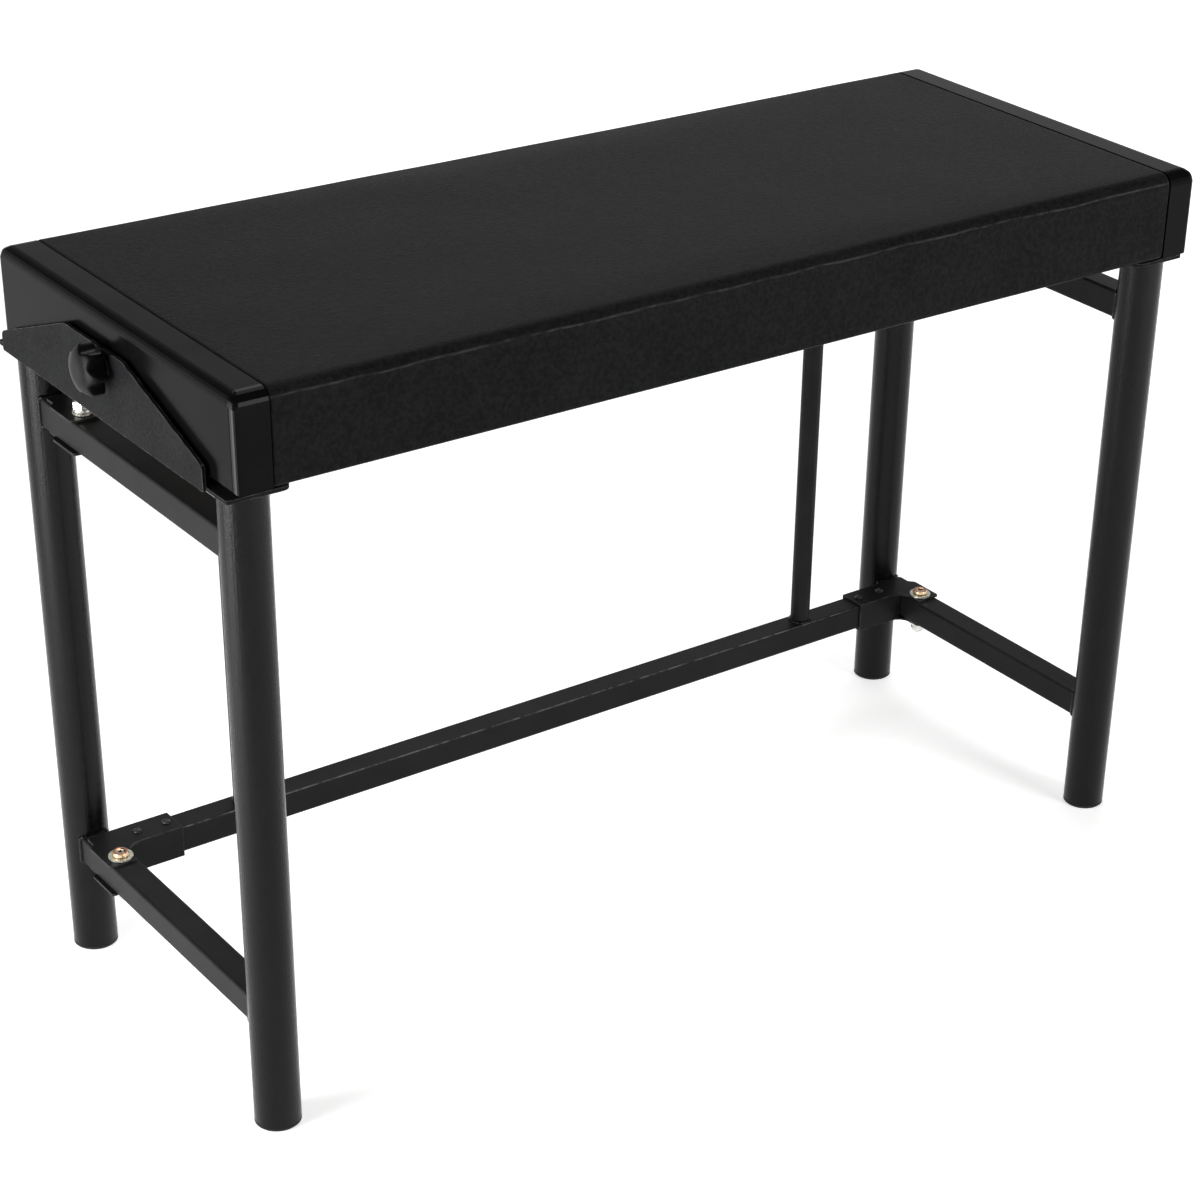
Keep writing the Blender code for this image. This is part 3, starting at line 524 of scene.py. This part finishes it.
def weld_frame():
    """Beads where rails and brackets meet the legs, and where the uprights meet the crossbars."""
    for side in SIDES:
        body = f"{side}_side_frame"
        for end, inward in (("front", 1), ("rear", -1)):
            leg_low, leg_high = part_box(f"{side}_{end}_leg")
            leg = middle(f"{side}_{end}_leg")
            leg_radius = (leg_high[0] - leg_low[0]) / 2
            for level in ("lower", "upper"):
                rail_low, rail_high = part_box(f"{side}_{level}_rail")
                rail = middle(f"{side}_{level}_rail")
                half = (rail_high[2] - rail_low[2]) / 2
                curve = []
                for across, up in bar_outline(half):
                    reach = math.sqrt(max(0.0, leg_radius ** 2 - across ** 2))
                    curve.append(Vector((leg.x + across, leg.y + inward * reach, rail.z + up)))
                weld_bead(f"{side}_{end}_{level}_rail_weld", curve, BEAD_RADIUS, body)
            top = Vector((leg.x, leg.y, leg_high[2]))
            weld_bead(f"{side}_{end}_bracket_weld", ring(top, leg_radius), BEAD_RADIUS * 0.8, body)
        rod_low, rod_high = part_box(f"{side}_upright")
        rod = middle(f"{side}_upright")
        for level, height in (("lower", rod_low[2]), ("upper", rod_high[2])):
            weld_bead(f"{side}_upright_{level}_weld",
                      ring(Vector((rod.x, rod.y, height)), (rod_high[0] - rod_low[0]) / 2),
                      BEAD_RADIUS * 0.85, "rear_frame")


# Cushion
CUSHION_EDGE = 0.009
CUSHION_LIP = 0.026
CUSHION_WRAP = 0.004
LIP_ROLL = 0.003
LIP_GAP = 0.0005
LIP_STEPS = 6
ROLL_STEPS = 4
WALL_STEPS = 24
EDGE_STEPS = 24
TOP_STEPS = 62
# The cover rolls down into the seams at its ends.
SEAM_ROLL = 0.0008
SEAM_RUN = 0.0024
SEAM_ROWS = 7
SEAM_REACH = 0.02
COVER_ROWS = 116
# The cloth run, and the most that it may move a point.
COVER_SWELL = 0.0013
COVER_PRESSURE = 4.0
COVER_STIFFNESS = 30
COVER_BENDING = 4
COVER_QUALITY = 5
COVER_FRAMES = 20
# What is laid over the cloth's form: a drawn-in wall, the ridge of the fold and slow swells.
SIDE_PULL = 0.0008
EDGE_RIDGE = 0.00034
EDGE_RIDGE_WIDTH = 0.0008
EDGE_RIDGE_RISE = 0.0032
EDGE_RIDGE_WANDER = 0.0006
FIELD_SWELL = 0.00030


def cover_section(half, bottom, top):
    """The cover's outline across the seat from lip to lip: (y, z), its outward way and its zone."""
    flat, lip = half - CUSHION_EDGE, half - CUSHION_LIP
    wall_low, wall_high = bottom + LIP_ROLL, top - CUSHION_EDGE
    side = []
    for step in range(LIP_STEPS):
        side.append((lip + (half - LIP_ROLL - lip) * step / LIP_STEPS, bottom, 0, -1, "under"))
    for step in range(ROLL_STEPS + 1):
        turn = math.pi / 2 * step / ROLL_STEPS
        side.append((half - LIP_ROLL * (1 - math.sin(turn)), bottom + LIP_ROLL * (1 - math.cos(turn)),
                     math.sin(turn), -math.cos(turn), "roll"))
    for step in range(1, WALL_STEPS):
        side.append((half, wall_low + (wall_high - wall_low) * step / WALL_STEPS, 1, 0, "wall"))
    for step in range(EDGE_STEPS + 1):
        turn = math.pi / 2 * step / EDGE_STEPS
        side.append((flat + CUSHION_EDGE * math.cos(turn), wall_high + CUSHION_EDGE * math.sin(turn),
                     math.cos(turn), math.sin(turn), "edge"))
    front = [(-across, up, -out, rise, zone) for across, up, out, rise, zone in side]
    level = [(-flat + 2 * flat * step / TOP_STEPS, top, 0, 1, "top") for step in range(1, TOP_STEPS)]
    return front + level + side[::-1]


def cover_rows(half_length):
    """Where the cover's rows stand, as shares of its half length, closer together at the seams."""
    run = SEAM_RUN / half_length
    seam = [-1 + run * step / SEAM_ROWS for step in range(SEAM_ROWS)]
    field = [(1 - run) * (2 * step / COVER_ROWS - 1) for step in range(COVER_ROWS + 1)]
    return seam + field + [-share for share in reversed(seam)]


def blown_up(grid, zones):
    """Let cloth under pressure lift the cover over its held seams and lips: each point's move."""
    width = len(zones)
    points = [spot for row in grid for spot in row]
    faces = []
    for row in range(len(grid) - 1):
        for place in range(width - 1):
            corner = row * width + place
            faces.append((corner, corner + width, corner + width + 1, corner + 1))
    data = bpy.data.meshes.new("cover_form")
    data.from_pydata(points, [], faces)
    form = bpy.data.objects.new("cover_form", data)
    bpy.context.scene.collection.objects.link(form)
    last = len(points) - width
    held = [index for index in range(len(points))
            if zones[index % width] in ("under", "roll") or index < width or index >= last]
    form.vertex_groups.new(name="held").add(held, 1.0, "REPLACE")
    settings = form.modifiers.new("cover", "CLOTH").settings
    settings.quality = COVER_QUALITY
    settings.tension_stiffness = settings.compression_stiffness = COVER_STIFFNESS
    settings.bending_stiffness = COVER_BENDING
    settings.vertex_group_mass = "held"
    settings.use_pressure = True
    settings.uniform_pressure_force = COVER_PRESSURE
    settings.effector_weights.gravity = 0
    for number in range(1, COVER_FRAMES + 1):
        bpy.context.scene.frame_set(number)
    shaped = form.evaluated_get(bpy.context.evaluated_depsgraph_get()).data
    moves = [vertex.co - point for vertex, point in zip(shaped.vertices, points)]
    bpy.context.scene.frame_set(1)
    bpy.data.objects.remove(form)
    largest = max(move.length for move in moves)
    return [move * min(1.0, COVER_SWELL / largest) for move in moves]


def cover_detail(spot, zone, share, from_seam):
    """How far the cover stands out at a point beyond the blown-up form, in metres."""
    closeness = max(0.0, 1 - from_seam / SEAM_RUN)
    lift = -SEAM_ROLL * (1 - math.sqrt(max(0.0, 1 - closeness ** 2)))
    inner = min(1.0, from_seam / SEAM_REACH)
    if zone == "wall":
        lift -= SIDE_PULL * math.sin(math.pi * share) * inner
    if zone in ("wall", "edge"):
        wander = EDGE_RIDGE_WANDER * noise.noise(Vector((spot.x * 30, 0.3, 0)))
        strength = 0.65 + 0.7 * noise.noise(Vector((spot.x * 90, 2.1, 0)))
        gap = (spot.z - EDGE_RIDGE_RISE + wander) / EDGE_RIDGE_WIDTH
        lift += EDGE_RIDGE * strength * math.exp(-gap ** 2) * inner
    if zone in ("top", "edge", "wall"):
        lift += FIELD_SWELL * noise.noise(Vector((spot.x * 13, spot.y * 16, share))) * inner
    return lift


def make_cushion():
    """The upholstered cushion: a cover blown up as cloth, end seams and lips turned under the board."""
    low, high = (Vector(corner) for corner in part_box("seat_cushion"))
    board_low, board_high = (Vector(corner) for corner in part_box("seat_board"))
    top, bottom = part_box("left_end_cap")[1][2], low.z
    centre_y = (low.y + high.y) / 2
    half_depth = (high.y - low.y) / 2
    half_length = (high.x - low.x) / 2
    section = cover_section(half_depth, bottom, top)
    zones = [zone for across, up, out, rise, zone in section]
    rows = cover_rows(half_length)
    grid = [[Vector((row * half_length, across + centre_y, up)) for across, up, out, rise, zone in section]
            for row in rows]
    moves = iter(blown_up(grid, zones))
    wall_y, lip_y = half_depth - CUSHION_WRAP, half_depth - CUSHION_LIP
    shelf, roof = board_low.z - LIP_GAP, board_high.z + LIP_GAP
    inside = [(lip_y, shelf), (wall_y, shelf), (wall_y, roof),
              (-wall_y, roof), (-wall_y, shelf), (-lip_y, shelf)]
    work = bmesh.new()
    loops = []
    for row, spots in zip(rows, grid):
        loop = []
        for spot, (across, up, out, rise, zone) in zip(spots, section):
            below_edge = Vector((spot.x, across, up - top + CUSHION_EDGE))
            share = (up - bottom) / (top - bottom)
            lift = cover_detail(below_edge, zone, share, (1 - abs(row)) * half_length)
            loop.append(work.verts.new(spot + next(moves) + Vector((0, out, rise)) * lift))
        loop += [work.verts.new((row * half_length, across + centre_y, up)) for across, up in inside]
        loops.append(loop)
    add_loops(work, loops)
    work.faces.new(loops[0])
    work.faces.new(loops[-1])
    cushion = add_mesh("upholstery", work, "vinyl")
    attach(cushion, "seat")
    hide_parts("seat_cushion")


STAPLE_PITCH = 0.034
STAPLE_LENGTH = 0.0105
STAPLE_WIDTH = 0.0011
STAPLE_HEIGHT = 0.0006
STAPLE_PLACE = CUSHION_LIP * 0.72
STAPLE_SKEW = 0.25
STAPLE_SHIFT = 0.002


def make_staples():
    """Staples that hold the turned-in lips to the board, in one slightly uneven row to a lip."""
    low, high = (Vector(corner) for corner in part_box("seat_cushion"))
    work = bmesh.new()
    reach = high.x - STAPLE_PITCH / 2
    count = int(2 * reach / STAPLE_PITCH)
    for lip in (low.y + STAPLE_PLACE, high.y - STAPLE_PLACE):
        for step in range(count + 1):
            x = -reach + 2 * reach * step / count
            wander = noise.noise(Vector((x * 40, lip * 50, 3)))
            turn = Matrix.Rotation(STAPLE_SKEW * wander, 4, "Z")
            place = Matrix.Translation((x, lip + STAPLE_SHIFT * wander, low.z - STAPLE_HEIGHT / 4)) @ turn
            shape = Matrix.Diagonal((STAPLE_LENGTH, STAPLE_WIDTH, STAPLE_HEIGHT, 1))
            bmesh.ops.create_cube(work, size=1, matrix=place @ shape)
    bmesh.ops.bevel(work, geom=work.edges, offset=STAPLE_HEIGHT / 4, segments=2, profile=0.5,
                    affect="EDGES")
    staples = add_mesh("lip_staples", work, "zinc", smooth=False)
    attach(staples, "seat")


# Turned and threaded forms
POINT_LENGTH = 0.001


def revolve(work, profiles, place):
    """Skin rings whose radius may change with the turn: profiles give (turn, radius, height) rings."""
    loops = []
    for ring_points in profiles:
        spots = [Vector((reach * math.cos(turn), reach * math.sin(turn), height))
                 for turn, reach, height in ring_points]
        loops.append([work.verts.new(place @ spot) for spot in spots])
    add_loops(work, loops)
    work.faces.new(loops[0])
    work.faces.new(loops[-1])


def thread_rings(length, top, count, sides, pitch, radius, depth, point):
    """Rings of a thread that runs up to top from its tapered point, which is a length below zero."""
    rings = []
    for step in range(count + 1):
        height = -length + (length + top) * step / count
        taper = max(0.0, 1 - (height + length) / POINT_LENGTH) * point
        loop = []
        for turn in turns_of(sides):
            phase = (height / pitch - turn / (2 * math.pi)) % 1
            loop.append((turn, radius - depth * abs(2 * phase - 1) - taper, height))
        rings.append(loop)
    return rings


# Knobs
KNOB_RADIUS = 0.016
KNOB_LOBES = 7
KNOB_LOBE_TURN = 0.175
KNOB_LOBE_DEPTH = 0.0035
KNOB_LOBE_SHARPNESS = 0.8
KNOB_HEIGHT = 0.0151
KNOB_DOME = 0.005
KNOB_COLLAR_RADIUS = 0.009
KNOB_COLLAR_HEIGHT = 0.002
KNOB_COLLAR_ROUNDING = 0.0003
KNOB_ROUNDING = 0.0011
KNOB_LOWER_STEPS = 4
KNOB_UPPER_STEPS = 6
LOBE_STEPS = 20
STUD_RADIUS = 0.004
STUD_PITCH = 0.00125
STUD_THREAD_DEPTH = 0.00055
STUD_POINT = 0.0012
STUD_TOP = 0.001
STUD_SIDES = 36
STUD_RINGS_TO_A_TURN = 6


def knob_radius(turn):
    hollow = math.sin(KNOB_LOBES * turn / 2) ** 2
    return KNOB_RADIUS - KNOB_LOBE_DEPTH * hollow ** KNOB_LOBE_SHARPNESS


def knob_face(reach):
    return KNOB_HEIGHT - KNOB_DOME * (reach / KNOB_RADIUS) ** 4


def make_knob(side):
    """The lobed grip with its rounded rim, and the threaded stud that it is moulded on."""
    sign = SIDES[side]
    low, high = (Vector(corner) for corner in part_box(f"{side}_knob"))
    axis = middle(f"{side}_knob_washer")
    outer, inner = (high.x, low.x) if sign > 0 else (low.x, high.x)
    seat = outer - sign * KNOB_HEIGHT
    place = Matrix.Translation((seat, axis.y, axis.z)) @ Matrix.Rotation(sign * math.pi / 2, 4, "Y")
    turns = turns_of(KNOB_LOBES * LOBE_STEPS)

    def plain(reach, height):
        return [(turn + KNOB_LOBE_TURN, reach, height) for turn in turns]

    def lobed(inset):
        return [(turn + KNOB_LOBE_TURN, knob_radius(turn) - inset) for turn in turns]

    rings = [plain(KNOB_COLLAR_RADIUS - KNOB_COLLAR_ROUNDING, 0),
             plain(KNOB_COLLAR_RADIUS, KNOB_COLLAR_ROUNDING),
             plain(KNOB_COLLAR_RADIUS, KNOB_COLLAR_HEIGHT)]
    for step in range(KNOB_LOWER_STEPS + 1):
        bend = math.pi / 2 * step / KNOB_LOWER_STEPS
        up = KNOB_COLLAR_HEIGHT + KNOB_ROUNDING * (1 - math.cos(bend))
        rings.append([(turn, reach, up) for turn, reach in lobed(KNOB_ROUNDING * (1 - math.sin(bend)))])
    rim = []
    for step in range(KNOB_UPPER_STEPS + 1):
        bend = math.pi / 2 * step / KNOB_UPPER_STEPS
        drop = KNOB_ROUNDING * (1 - math.sin(bend))
        rim.append([(turn, reach, knob_face(reach) - drop)
                    for turn, reach in lobed(KNOB_ROUNDING * (1 - math.cos(bend)))])
    rings += rim
    for share in (0.9, 0.8, 0.7, 0.6, 0.5, 0.4, 0.3, 0.2, 0.1, 0.02):
        rings.append([(turn, reach * share, knob_face(reach * share)) for turn, reach, height in rim[1]])
    work = bmesh.new()
    revolve(work, rings, place)
    grip = add_mesh(f"{side}_knob_grip", work, "knob")
    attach(grip, f"{side}_knob")
    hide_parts(f"{side}_knob")
    length = abs(inner - seat)
    count = round(length / STUD_PITCH * STUD_RINGS_TO_A_TURN)
    thread = thread_rings(length, STUD_TOP, count, STUD_SIDES, STUD_PITCH, STUD_RADIUS,
                          STUD_THREAD_DEPTH, STUD_POINT)
    work = bmesh.new()
    revolve(work, thread, place)
    stud = add_mesh(f"{side}_knob_stud", work, "zinc")
    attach(stud, f"{side}_knob")


# Bracket screws
SCREW_HEAD_RADIUS = 0.0031
SCREW_HEAD_HEIGHT = 0.0018
SCREW_RIM_HEIGHT = 0.0004
SCREW_SHANK_RADIUS = 0.0015
SCREW_POINT_LENGTH = 0.0015
SCREW_SIDES = 64
SCREW_DOME_RINGS = 19
RECESS_REACH = 0.0019
RECESS_HALF_WIDTH = 0.00048
RECESS_DEPTH = 0.0010
RECESS_EDGE = 0.00018


def recess(x, y):
    """Depth of the cross recess at a point of the head."""
    def inside(distance, limit):
        return min(1.0, max(0.0, (limit - distance) / RECESS_EDGE + 0.5))

    first = inside(abs(x), RECESS_REACH) * inside(abs(y), RECESS_HALF_WIDTH)
    second = inside(abs(y), RECESS_REACH) * inside(abs(x), RECESS_HALF_WIDTH)
    return RECESS_DEPTH * max(first, second) * (1 - 0.35 * math.hypot(x, y) / RECESS_REACH)


def make_screw(node, body, turned):
    """A pan-head screw with a domed head and a cross recess."""
    low, high = (Vector(corner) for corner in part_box(node))
    seat = high.z - SCREW_HEAD_HEIGHT
    place = Matrix.Translation(((low.x + high.x) / 2, (low.y + high.y) / 2, seat))
    turns = turns_of(SCREW_SIDES)
    point = low.z - seat
    rings = [(SCREW_SHANK_RADIUS / 2, point), (SCREW_SHANK_RADIUS, point + SCREW_POINT_LENGTH),
             (SCREW_SHANK_RADIUS, 0), (SCREW_HEAD_RADIUS, 0), (SCREW_HEAD_RADIUS, SCREW_RIM_HEIGHT)]
    profiles = [[(turn, reach, height) for turn in turns] for reach, height in rings]
    for step in range(SCREW_DOME_RINGS, 0, -1):
        reach = SCREW_HEAD_RADIUS * (step / (SCREW_DOME_RINGS + 0.3))
        rise = 1 - (reach / SCREW_HEAD_RADIUS) ** 3.2
        dome = SCREW_RIM_HEIGHT + (SCREW_HEAD_HEIGHT - SCREW_RIM_HEIGHT) * rise
        loop = []
        for turn in turns:
            x, y = reach * math.cos(turn + turned), reach * math.sin(turn + turned)
            loop.append((turn, reach, dome - recess(x, y)))
        profiles.append(loop)
    work = bmesh.new()
    revolve(work, profiles, place)
    screw = add_mesh(f"{node}_head", work, "screw")
    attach(screw, body)
    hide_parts(node)


# Pivot bolts
BOLT_SIDES = 72
BOLT_SHANK_RADIUS = 0.003
BOLT_PITCH = 0.001
BOLT_THREAD_DEPTH = 0.0003
BOLT_RING_STEP = 0.00025
BOLT_POINT = 0.0009
BOLT_TOP_RADIUS = 0.0047
BOLT_SOCKET_RADIUS = 0.0021
BOLT_SOCKET_DEPTH = 0.0018
BOLT_SOCKET_CHAMFER = 0.00025
BOLT_SOCKET_SHADE = 0.0002
BOLT_ROUNDING = 0.0005
BOLT_ROUNDING_STEPS = 6
BOLT_HEAD_DROP = 0.0009
BOLT_HEAD_HEIGHT = 0.0036
BOLT_BRIM_CHAMFER = 0.0003
BOLT_BRIM_HEIGHT = 0.0008
BOLT_FLANGE_HEIGHT = 0.0014
BOLT_FLANGE_SHARE = 0.86


def make_bolt(node, body, head_up):
    """A bolt with a flat-topped, cone-sided head, a hexagon socket and a threaded shank."""
    low, high = (Vector(corner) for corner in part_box(node))
    length = high.z - low.z
    head = (high.x - low.x) / 2
    centre = ((low.x + high.x) / 2, (low.y + high.y) / 2)
    place = Matrix.Translation((*centre, high.z if head_up else low.z))
    if not head_up:
        place = place @ Matrix.Rotation(math.pi, 4, "X")
    turns = turns_of(BOLT_SIDES)
    under = -BOLT_HEAD_HEIGHT
    count = round((length + under) / BOLT_RING_STEP)
    rings = thread_rings(length, under, count, BOLT_SIDES, BOLT_PITCH, BOLT_SHANK_RADIUS,
                         BOLT_THREAD_DEPTH, BOLT_POINT)
    cone = [(BOLT_SHANK_RADIUS, under), (head - BOLT_BRIM_CHAMFER, under),
            (head, under + BOLT_BRIM_CHAMFER), (head, under + BOLT_BRIM_HEIGHT)]
    if not head_up:
        flange = under + BOLT_FLANGE_HEIGHT
        cone += [(head, flange - BOLT_BRIM_CHAMFER), (head * BOLT_FLANGE_SHARE, flange)]
    for step in range(BOLT_ROUNDING_STEPS + 1):
        bend = math.pi / 2 * step / BOLT_ROUNDING_STEPS
        cone.append((BOLT_TOP_RADIUS + BOLT_ROUNDING * math.cos(bend),
                     -BOLT_HEAD_DROP - BOLT_ROUNDING * (1 - math.sin(bend))))
    rings += [[(turn, reach, height) for turn in turns] for reach, height in cone]

    def hexagon(turn):
        return BOLT_SOCKET_RADIUS * math.cos(math.pi / 6) / math.cos((turn % (math.pi / 3)) - math.pi / 6)

    for share, depth in ((1.12, 0), (1.0, BOLT_SOCKET_CHAMFER), (1.0, BOLT_SOCKET_DEPTH),
                         (0.1, BOLT_SOCKET_DEPTH)):
        rings.append([(turn, hexagon(turn) * share, -BOLT_HEAD_DROP - depth) for turn in turns])
    work = bmesh.new()
    revolve(work, rings, place)
    bolt = add_mesh(f"{node}_fine", work, "brass" if head_up else "zinc")
    # Painted shade: the socket's walls and floor, below a thin step under its rim, take the black screw
    # finish.
    bolt.data.materials.append(MATERIALS["screw"])
    to_bolt = place.inverted()
    for face in bolt.data.polygons:
        spot = to_bolt @ face.center
        in_socket = spot.xy.length < BOLT_SOCKET_RADIUS and spot.z > -BOLT_HEAD_HEIGHT
        if in_socket and spot.z < -BOLT_HEAD_DROP - BOLT_SOCKET_SHADE:
            face.material_index = 1
    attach(bolt, body)
    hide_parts(node)


def make_fine_fasteners():
    for side in SIDES:
        make_knob(side)
        for level in ("lower", "upper"):
            node = f"{side}_{level}_pivot_bolt"
            make_bolt(node, "rear_frame", level == "lower")
    names = sorted(name for name in nodes if "_bracket_screw_" in name)
    for number, name in enumerate(names):
        make_screw(name, "rear_frame", 0.4 + 1.7 * number)


# Studio
FLOOR_SIZE = 60
FLOOR_DROP = 0.0003
FLOOR_WHITE = (0.82, 0.82, 0.82, 1)
FLOOR_ROUGHNESS = 0.9
# The floor's own glow under the bench, where it leaves room for shadows, grows to white further out.
FLOOR_LIFT = 0.54
FLOOR_NEAR = 0.8
FLOOR_FAR = 2.2
# The surroundings, by the height of a direction and by how far it turns towards the backdrop.
WORLD_HORIZON = 1.0
WORLD_ZENITH = 0.08
WORLD_FADE = (0.14, 0.48)
BACKDROP_WAY = (0.626, 0.780, 0.0)
BACKDROP_LEVEL = 0.34
BACKDROP_SIDE_FADE = (0.45, 0.75)
BACKDROP_TOP_FADE = (0.52, 0.68)
# Each lamp's name, place, aim, width, height and watts.
LAMPS = (
    ("key_left", (-1.10, 0.0, 0.42), (-0.40, -0.02, 0.30), 0.56, 0.74, 11.5),
    ("fill_top", (0.9, 1.1, 2.3), (0.0, 0.0, 0.3), 1.6, 1.6, 25),
    ("fill_front", (0.85, -2.3, 0.95), (0.0, 0.0, 0.3), 0.9, 0.9, 39),
)


def background_rays(tree):
    """1 for camera, glossy and transmission rays, which see the white background, else 0."""
    path = tree.nodes.new("ShaderNodeLightPath")
    total = path.outputs["Is Camera Ray"]
    for output in ("Is Glossy Ray", "Is Transmission Ray"):
        total = maths(tree, "MAXIMUM", total, path.outputs[output])
    return total


def floor_material():
    material = bpy.data.materials.new("floor_white")
    material.use_nodes = True
    tree = material.node_tree
    principled = tree.nodes["Principled BSDF"]
    principled.inputs["Base Color"].default_value = FLOOR_WHITE
    principled.inputs["Roughness"].default_value = FLOOR_ROUGHNESS
    principled.inputs["Specular IOR Level"].default_value = 0.0
    spot = new_node(tree, "ShaderNodeNewGeometry", {}).outputs["Position"]
    reach = new_node(tree, "ShaderNodeVectorMath", {0: spot}, operation="LENGTH").outputs["Value"]
    lift = span(tree, reach, FLOOR_LIFT, 1.0, FLOOR_NEAR, FLOOR_FAR, shape="SMOOTHSTEP")
    strength = maths(tree, "MULTIPLY", background_rays(tree), lift)
    glow = new_node(tree, "ShaderNodeEmission", {"Strength": strength})
    both = new_node(tree, "ShaderNodeAddShader", {0: principled.outputs[0], 1: glow.outputs[0]})
    tree.links.new(both.outputs[0], tree.nodes["Material Output"].inputs["Surface"])
    return material


def make_floor():
    work = bmesh.new()
    half = FLOOR_SIZE / 2
    corners = [work.verts.new((x, y, -FLOOR_DROP)) for x, y in
               ((-half, -half), (half, -half), (half, half), (-half, half))]
    work.faces.new(corners)
    data = bpy.data.meshes.new("floor")
    work.to_mesh(data)
    work.free()
    data.materials.append(floor_material())
    floor = bpy.data.objects.new("floor", data)
    bpy.context.scene.collection.objects.link(floor)


def ramp(tree, source, places, levels):
    """A grey level that eases from one to the other between two places of the source."""
    made = new_node(tree, "ShaderNodeValToRGB", {"Fac": source})
    made.color_ramp.interpolation = "EASE"
    for element, place, level in zip(made.color_ramp.elements, places, levels):
        element.position = place
        element.color = (level, level, level, 1)
    return made.outputs["Color"]


def make_world():
    """White low down, pale behind the bench, where the backdrop stands, and dim overhead."""
    world = bpy.data.worlds.new("studio")
    bpy.context.scene.world = world
    world.use_nodes = True
    tree = world.node_tree
    way = tree.nodes.new("ShaderNodeTexCoord").outputs["Generated"]
    height = new_node(tree, "ShaderNodeSeparateXYZ", {0: way}).outputs["Z"]
    facing = new_node(tree, "ShaderNodeVectorMath", {0: way, 1: BACKDROP_WAY}, operation="DOT_PRODUCT")
    around = ramp(tree, facing.outputs["Value"], BACKDROP_SIDE_FADE, (0.0, BACKDROP_LEVEL))
    below = ramp(tree, height, BACKDROP_TOP_FADE, (WORLD_HORIZON, 0.0))
    backdrop = maths(tree, "MULTIPLY", around, below)
    room = ramp(tree, height, WORLD_FADE, (WORLD_HORIZON, WORLD_ZENITH))
    # Straight from the camera the ceiling is white as well, like the low part that metal mirrors.
    seen = tree.nodes.new("ShaderNodeLightPath").outputs["Is Camera Ray"]
    strength = maths(tree, "MAXIMUM", maths(tree, "MAXIMUM", backdrop, room), seen)
    background = tree.nodes["Background"]
    background.inputs["Color"].default_value = (1, 1, 1, 1)
    tree.links.new(strength, background.inputs["Strength"])


def make_lamps():
    for name, place, aim, width, height, watts in LAMPS:
        data = bpy.data.lights.new(name, "AREA")
        data.shape = "RECTANGLE"
        data.size, data.size_y = width, height
        data.energy = watts
        lamp = bpy.data.objects.new(name, data)
        bpy.context.scene.collection.objects.link(lamp)
        lamp.location = place
        lamp.rotation_euler = (Vector(aim) - Vector(place)).to_track_quat("-Z", "Y").to_euler()


bpy.context.scene.view_settings.view_transform = "Standard"
make_camera()
make_floor()
make_world()
make_lamps()
finish_nodes()
weld_frame()
make_cushion()
make_staples()
make_fine_fasteners()
